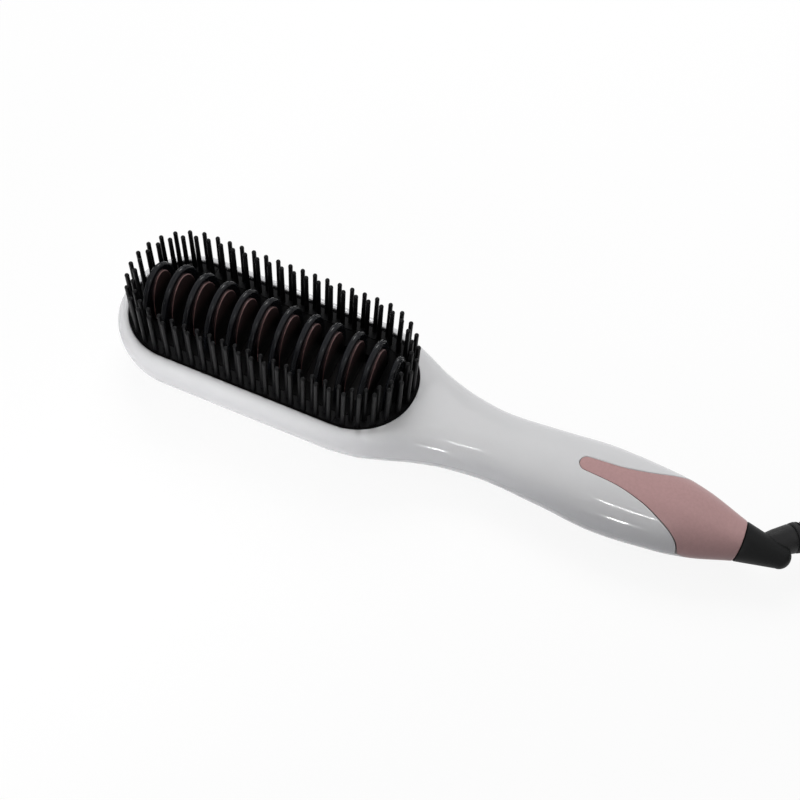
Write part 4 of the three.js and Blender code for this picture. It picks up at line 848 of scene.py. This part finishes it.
def build_arch(index, arch):
    """A guard arch with rounded outer edges. The last one is closed by a web."""
    foot = COMB_TOP + GAP
    outer = half_ellipse(arch["half"], arch["top"], foot)
    inner = half_ellipse(arch["fin_half"] + GAP, arch["fin_top"] + GAP, foot)
    side = ARCH_THICK / 2
    profile = [(-side, 1e3), (-side, ARCH_ROUND + 0.2)]
    for k in range(7):
        angle = math.radians(15 * k)
        profile.append((-side + ARCH_ROUND * (1 - math.cos(angle)), ARCH_ROUND * (1 - math.sin(angle))))
    profile += [(-dx, depth) for dx, depth in reversed(profile)]
    vertices = []
    for (oy, oz), (iy, iz) in zip(outer, inner):
        span = math.dist((oy, oz), (iy, iz))
        for dx, depth in profile:
            share = min(depth / span, 1)
            vertices.append((arch["x"] + dx, oy + (iy - oy) * share, oz + (iz - oz) * share))
    size = len(profile)
    faces = grid_faces(len(outer), size, closed=True)
    faces += [tuple(range(size)), tuple(range(len(vertices) - size, len(vertices)))]
    if index == LAST_ARCH:
        start = len(vertices)
        web = half_ellipse(arch["fin_half"] + 1, arch["fin_top"] + 1, foot)
        for dx in (-WEB_HALF, WEB_HALF):
            vertices += [(arch["x"] + dx, y, z) for y, z in web]
        count = len(web)
        faces += [tuple(range(start, start + count)), tuple(range(start + count, start + 2 * count))]
        faces += [(start + i, start + (i + 1) % count, start + (i + 1) % count + count, start + i + count)
                  for i in range(count)]
    name = f"guard_arch_{index + 1:02d}"
    piece(f"{name}_smooth", vertices, faces, ARCH, "black", stands_for=[name], smooth=40)


def build_fin(index, arch):
    """A fin with a narrow chamfer round its face towards the neck. The chamfer gets the painted highlight,
    and the rest gets the painted shade.
    """
    edge = half_ellipse(arch["fin_half"], arch["fin_top"], PLATE_TOP + GAP)
    small = half_ellipse(arch["fin_half"] - FIN_CHAMFER, arch["fin_top"] - FIN_CHAMFER, PLATE_TOP + GAP)
    low, high = arch["x"] - ARCH_THICK / 2, arch["x"] + ARCH_THICK / 2 + FIN_LEDGE
    count = len(edge)
    vertices = [(x, y, z) for x in (low, high - FIN_CHAMFER) for y, z in edge]
    vertices += [(high, y, z) for y, z in small]
    faces = grid_faces(3, count, closed=True)
    faces += [tuple(range(count)), tuple(range(2 * count, 3 * count))]
    name = f"heating_fin_{index + 1:02d}"
    fin = piece(f"{name}_smooth", vertices, faces, FIN_PAINTED_SHADE, "fin", stands_for=[name], smooth=30)
    fin.data.materials.append(FIN_PAINTED_HIGHLIGHT)
    # Faces that lean between these limits are the chamfer, and they get the painted highlight.
    rim_lean, front_lean = 0.3, 0.95
    for face in fin.data.polygons:
        if rim_lean < abs(face.normal.x) < front_lean:
            face.material_index = 1


build_comb()
for index, arch in enumerate(ARCHES):
    build_arch(index, arch)
    if index < LAST_ARCH:
        build_fin(index, arch)


def build_button(name, x, radius):
    """A round key with a rounded, slightly dished face, its flange and its stem."""
    face, flange = PANEL_FACE - BUTTON_PROUD, PAD_TOP + GAP
    stem, flange_radius = flange + BUTTON_FLANGE, radius + 1
    profile = [(face + 0.12, 0.02), (face + 0.08, radius * 0.45), (face, radius - 0.75),
               (face + 0.05, radius - 0.4), (face + 0.2, radius - 0.12), (face + 0.5, radius),
               (flange, radius), (flange, flange_radius), (stem, flange_radius), (stem, STEM_RADIUS),
               (stem + STEM_LENGTH, STEM_RADIUS)]
    vertices, faces = lathe(profile, 56, lambda along, u, v: (x + u, v, along))
    piece(f"{name}_key", vertices, faces, WHITE, "white", name, stands_for=[name], smooth=35)


for name, (x, radius) in BUTTONS.items():
    build_button(name, x, radius)


# Swivel cap and boot
def build_cap():
    """The cap: a small rounded rim at the sleeve, a cone, and a round nose."""
    rim = [(0, SPIGOT_RADIUS), (0, END_RADIUS - 0.5), (0.15, END_RADIUS - 0.2), (0.5, END_RADIUS - 0.1)]
    profile = [(HANDLE_END + GAP + along, radius) for along, radius in rim]
    cone_start, cone_radius = HANDLE_END + 1, END_RADIUS - 0.12
    nose_start, nose_reach = NOSE_X - CAP_NOSE_RADIUS, 4.0
    for i in range(1, 9):
        t = i / 8
        radius = cone_radius + (CAP_NOSE_RADIUS - cone_radius) * t
        profile.append((cone_start + (nose_start - cone_start) * t, radius))
    for i in range(1, 13):
        angle = i / 12 * math.pi / 2
        radius = max(CAP_NOSE_RADIUS * math.cos(angle), 0.03)
        profile.append((nose_start + nose_reach * math.sin(angle), radius))
    vertices, faces = lathe(profile, 64, lambda along, u, v: (along, u, AXIS_Z + v))
    piece("end_cap", vertices, faces, BLACK, "black", CORD_SET, stands_for=["swivel_cap"], smooth=35)


def build_boot():
    """The boot: a collar that swells out of the cap, two grooves, and six ribs that shrink to the cord."""
    shoulder, tip_radius, ribs, ribs_start = 5.8, CORD_RADIUS + 0.8, 6, 18
    profile = [(1.5, 2.8), (3.4, 2.8), (3.6, 4.0), (5.8, 4.3), (8, 4.75), (11, 5.1), (14.1, 5.45),
               (14.3, 5.3), (14.5, 4.9), (14.9, 4.9), (15.1, 5.4), (15.3, 5.6), (16.7, 5.75),
               (16.9, 5.6), (17.1, 5.1), (17.5, 5.1), (17.7, 5.6)]
    rib = [(0.0, 0.75), (0.1, 0.9), (0.3, 0.9), (0.4, 0.75), (0.47, 0.2), (0.55, 0.03), (0.75, 0.0),
           (0.9, 0.08), (0.97, 0.3)]
    span = (BOOT_LENGTH - ribs_start) / ribs
    for i in range(ribs):
        start = ribs_start + i * span
        radius = shoulder - (i + 0.5) * (shoulder - tip_radius) / ribs
        profile += [(start + span * share, radius - cut) for share, cut in rib]
    profile += [(BOOT_LENGTH - 0.3, tip_radius - 0.1), (BOOT_LENGTH, tip_radius - 0.4)]
    direction = Vector((math.cos(BOOT_ANGLE), math.sin(BOOT_ANGLE), 0))
    side = Vector((-math.sin(BOOT_ANGLE), math.cos(BOOT_ANGLE), 0))

    def at(along, u, v):
        point = Vector((BOOT_ROOT_X, 0, AXIS_Z)) + direction * along + side * u
        return (point.x, point.y, point.z + v)

    vertices, faces = lathe(profile, 48, at)
    return piece("boot", vertices, faces, CORD, "cord", CORD_SET, stands_for=["strain_relief"], smooth=50)


build_cap()
boot = build_boot()

# CAD nodes that stay
slot_of = {row["node"]: row["material_slot"] for row in frame["record"]["subparts"]}
for name, obj in NODES.items():
    obj.data.materials.clear()
    obj.data.materials.append(PLATE if name == "heat_plate" else LOOK_OF_SLOT[slot_of[name]])
    obj.data.polygons.foreach_set("use_smooth", [True] * len(obj.data.polygons))
    obj.data.set_sharp_from_angle(angle=math.radians(28))

# Floor, world and lamps
FLOOR_REACH = 6
FLOOR_COLOUR = (0.2, 0.2, 0.235, 1)
FLOOR_GLOW = 0.9
WORLD_LIGHT = 0.31


def light_path(tree):
    """One where the ray is seen: straight, mirrored or through glass."""
    path = tree.nodes.new("ShaderNodeLightPath")
    seen = path.outputs["Is Camera Ray"]
    for other in ("Is Glossy Ray", "Is Transmission Ray"):
        either = tree.nodes.new("ShaderNodeMath")
        either.operation = "MAXIMUM"
        tree.links.new(seen, either.inputs[0])
        tree.links.new(path.outputs[other], either.inputs[1])
        seen = either.outputs[0]
    return seen


def floor_material():
    """White where it is seen, mostly by its own glow, so that shadows stay faint, and grey to other rays."""
    look = bpy.data.materials.new("floor")
    look.use_nodes = True
    tree = look.node_tree
    principled = tree.nodes["Principled BSDF"]
    principled.inputs["Roughness"].default_value = 0.9
    seen = light_path(tree)
    paint = tree.nodes.new("ShaderNodeMix")
    paint.data_type = "RGBA"
    paint.inputs[6].default_value = FLOOR_COLOUR
    paint.inputs[7].default_value = (1, 1, 1, 1)
    tree.links.new(seen, paint.inputs[0])
    tree.links.new(paint.outputs[2], principled.inputs["Base Color"])
    glow = tree.nodes.new("ShaderNodeEmission")
    glow.inputs["Color"].default_value = (1, 1, 1, 1)
    glow.inputs["Strength"].default_value = 1.0
    share = tree.nodes.new("ShaderNodeMath")
    share.operation = "MULTIPLY"
    share.inputs[1].default_value = FLOOR_GLOW
    tree.links.new(seen, share.inputs[0])
    mixer = tree.nodes.new("ShaderNodeMixShader")
    tree.links.new(share.outputs[0], mixer.inputs[0])
    tree.links.new(principled.outputs[0], mixer.inputs[1])
    tree.links.new(glow.outputs[0], mixer.inputs[2])
    tree.links.new(mixer.outputs[0], tree.nodes["Material Output"].inputs["Surface"])
    return look


def build_floor():
    """A wide floor, which is stage and no part of the object."""
    mesh = bpy.data.meshes.new("floor")
    corners = [(x * FLOOR_REACH, y * FLOOR_REACH, 0) for x, y in ((-1, -1), (1, -1), (1, 1), (-1, 1))]
    mesh.from_pydata(corners, [], [(0, 1, 2, 3)])
    mesh.materials.append(floor_material())
    floor = bpy.data.objects.new("floor", mesh)
    bpy.context.scene.collection.objects.link(floor)


def build_world():
    """A white surround for rays that are seen, and a dim one for the light on the object."""
    world = bpy.data.worlds.new("world")
    bpy.context.scene.world = world
    world.use_nodes = True
    tree = world.node_tree
    surround = tree.nodes["Background"]
    surround.inputs["Color"].default_value = (1, 1, 1, 1)
    strength = tree.nodes.new("ShaderNodeMapRange")
    strength.inputs["To Min"].default_value = WORLD_LIGHT
    strength.inputs["To Max"].default_value = 1.0
    tree.links.new(light_path(tree), strength.inputs["Value"])
    tree.links.new(strength.outputs["Result"], surround.inputs["Strength"])


def softbox(name, location, target, size, power, spread=180):
    """A rectangular lamp that faces its target."""
    data = bpy.data.lights.new(name, "AREA")
    data.shape = "RECTANGLE"
    data.size, data.size_y = size
    data.energy = power
    data.spread = math.radians(spread)
    lamp = bpy.data.objects.new(name, data)
    lamp.location = location
    lamp.rotation_euler = (Vector(target) - Vector(location)).to_track_quat("-Z", "Y").to_euler()
    bpy.context.scene.collection.objects.link(lamp)
    return lamp


build_floor()
build_world()
# key and head_side are kept out of reflections, and the last three lamps show only in reflections.
key = softbox("key", (-0.3, 0.6, 0.85), (0, 0, 0.02), (0.7, 0.5), 7.15)
softbox("fill", (0.5, 0.3, 0.9), (0.05, 0, 0.02), (0.6, 0.6), 0.75)
head_side = softbox("head_side", (-0.168, -0.29, 0.1), (-0.063, 0, 0.02), (0.14, 0.1), 0.076, 52)
for lamp in (key, head_side):
    lamp.visible_glossy = False
strip = softbox("strip", (0.14, -0.42, 0.587), (0.07, -0.01, 0.024), (0.13, 0.025), 0.55)
glint = softbox("glint", (0.0995, -0.255, 0.088), (0.0, -0.014, 0.02), (0.022, 0.014), 0.105)
rim = softbox("rim", (-0.2, 0.58, 0.335), (-0.05, -0.02, 0.025), (0.12, 0.2), 0.9)
for lamp in (strip, glint, rim):
    lamp.visible_diffuse = False
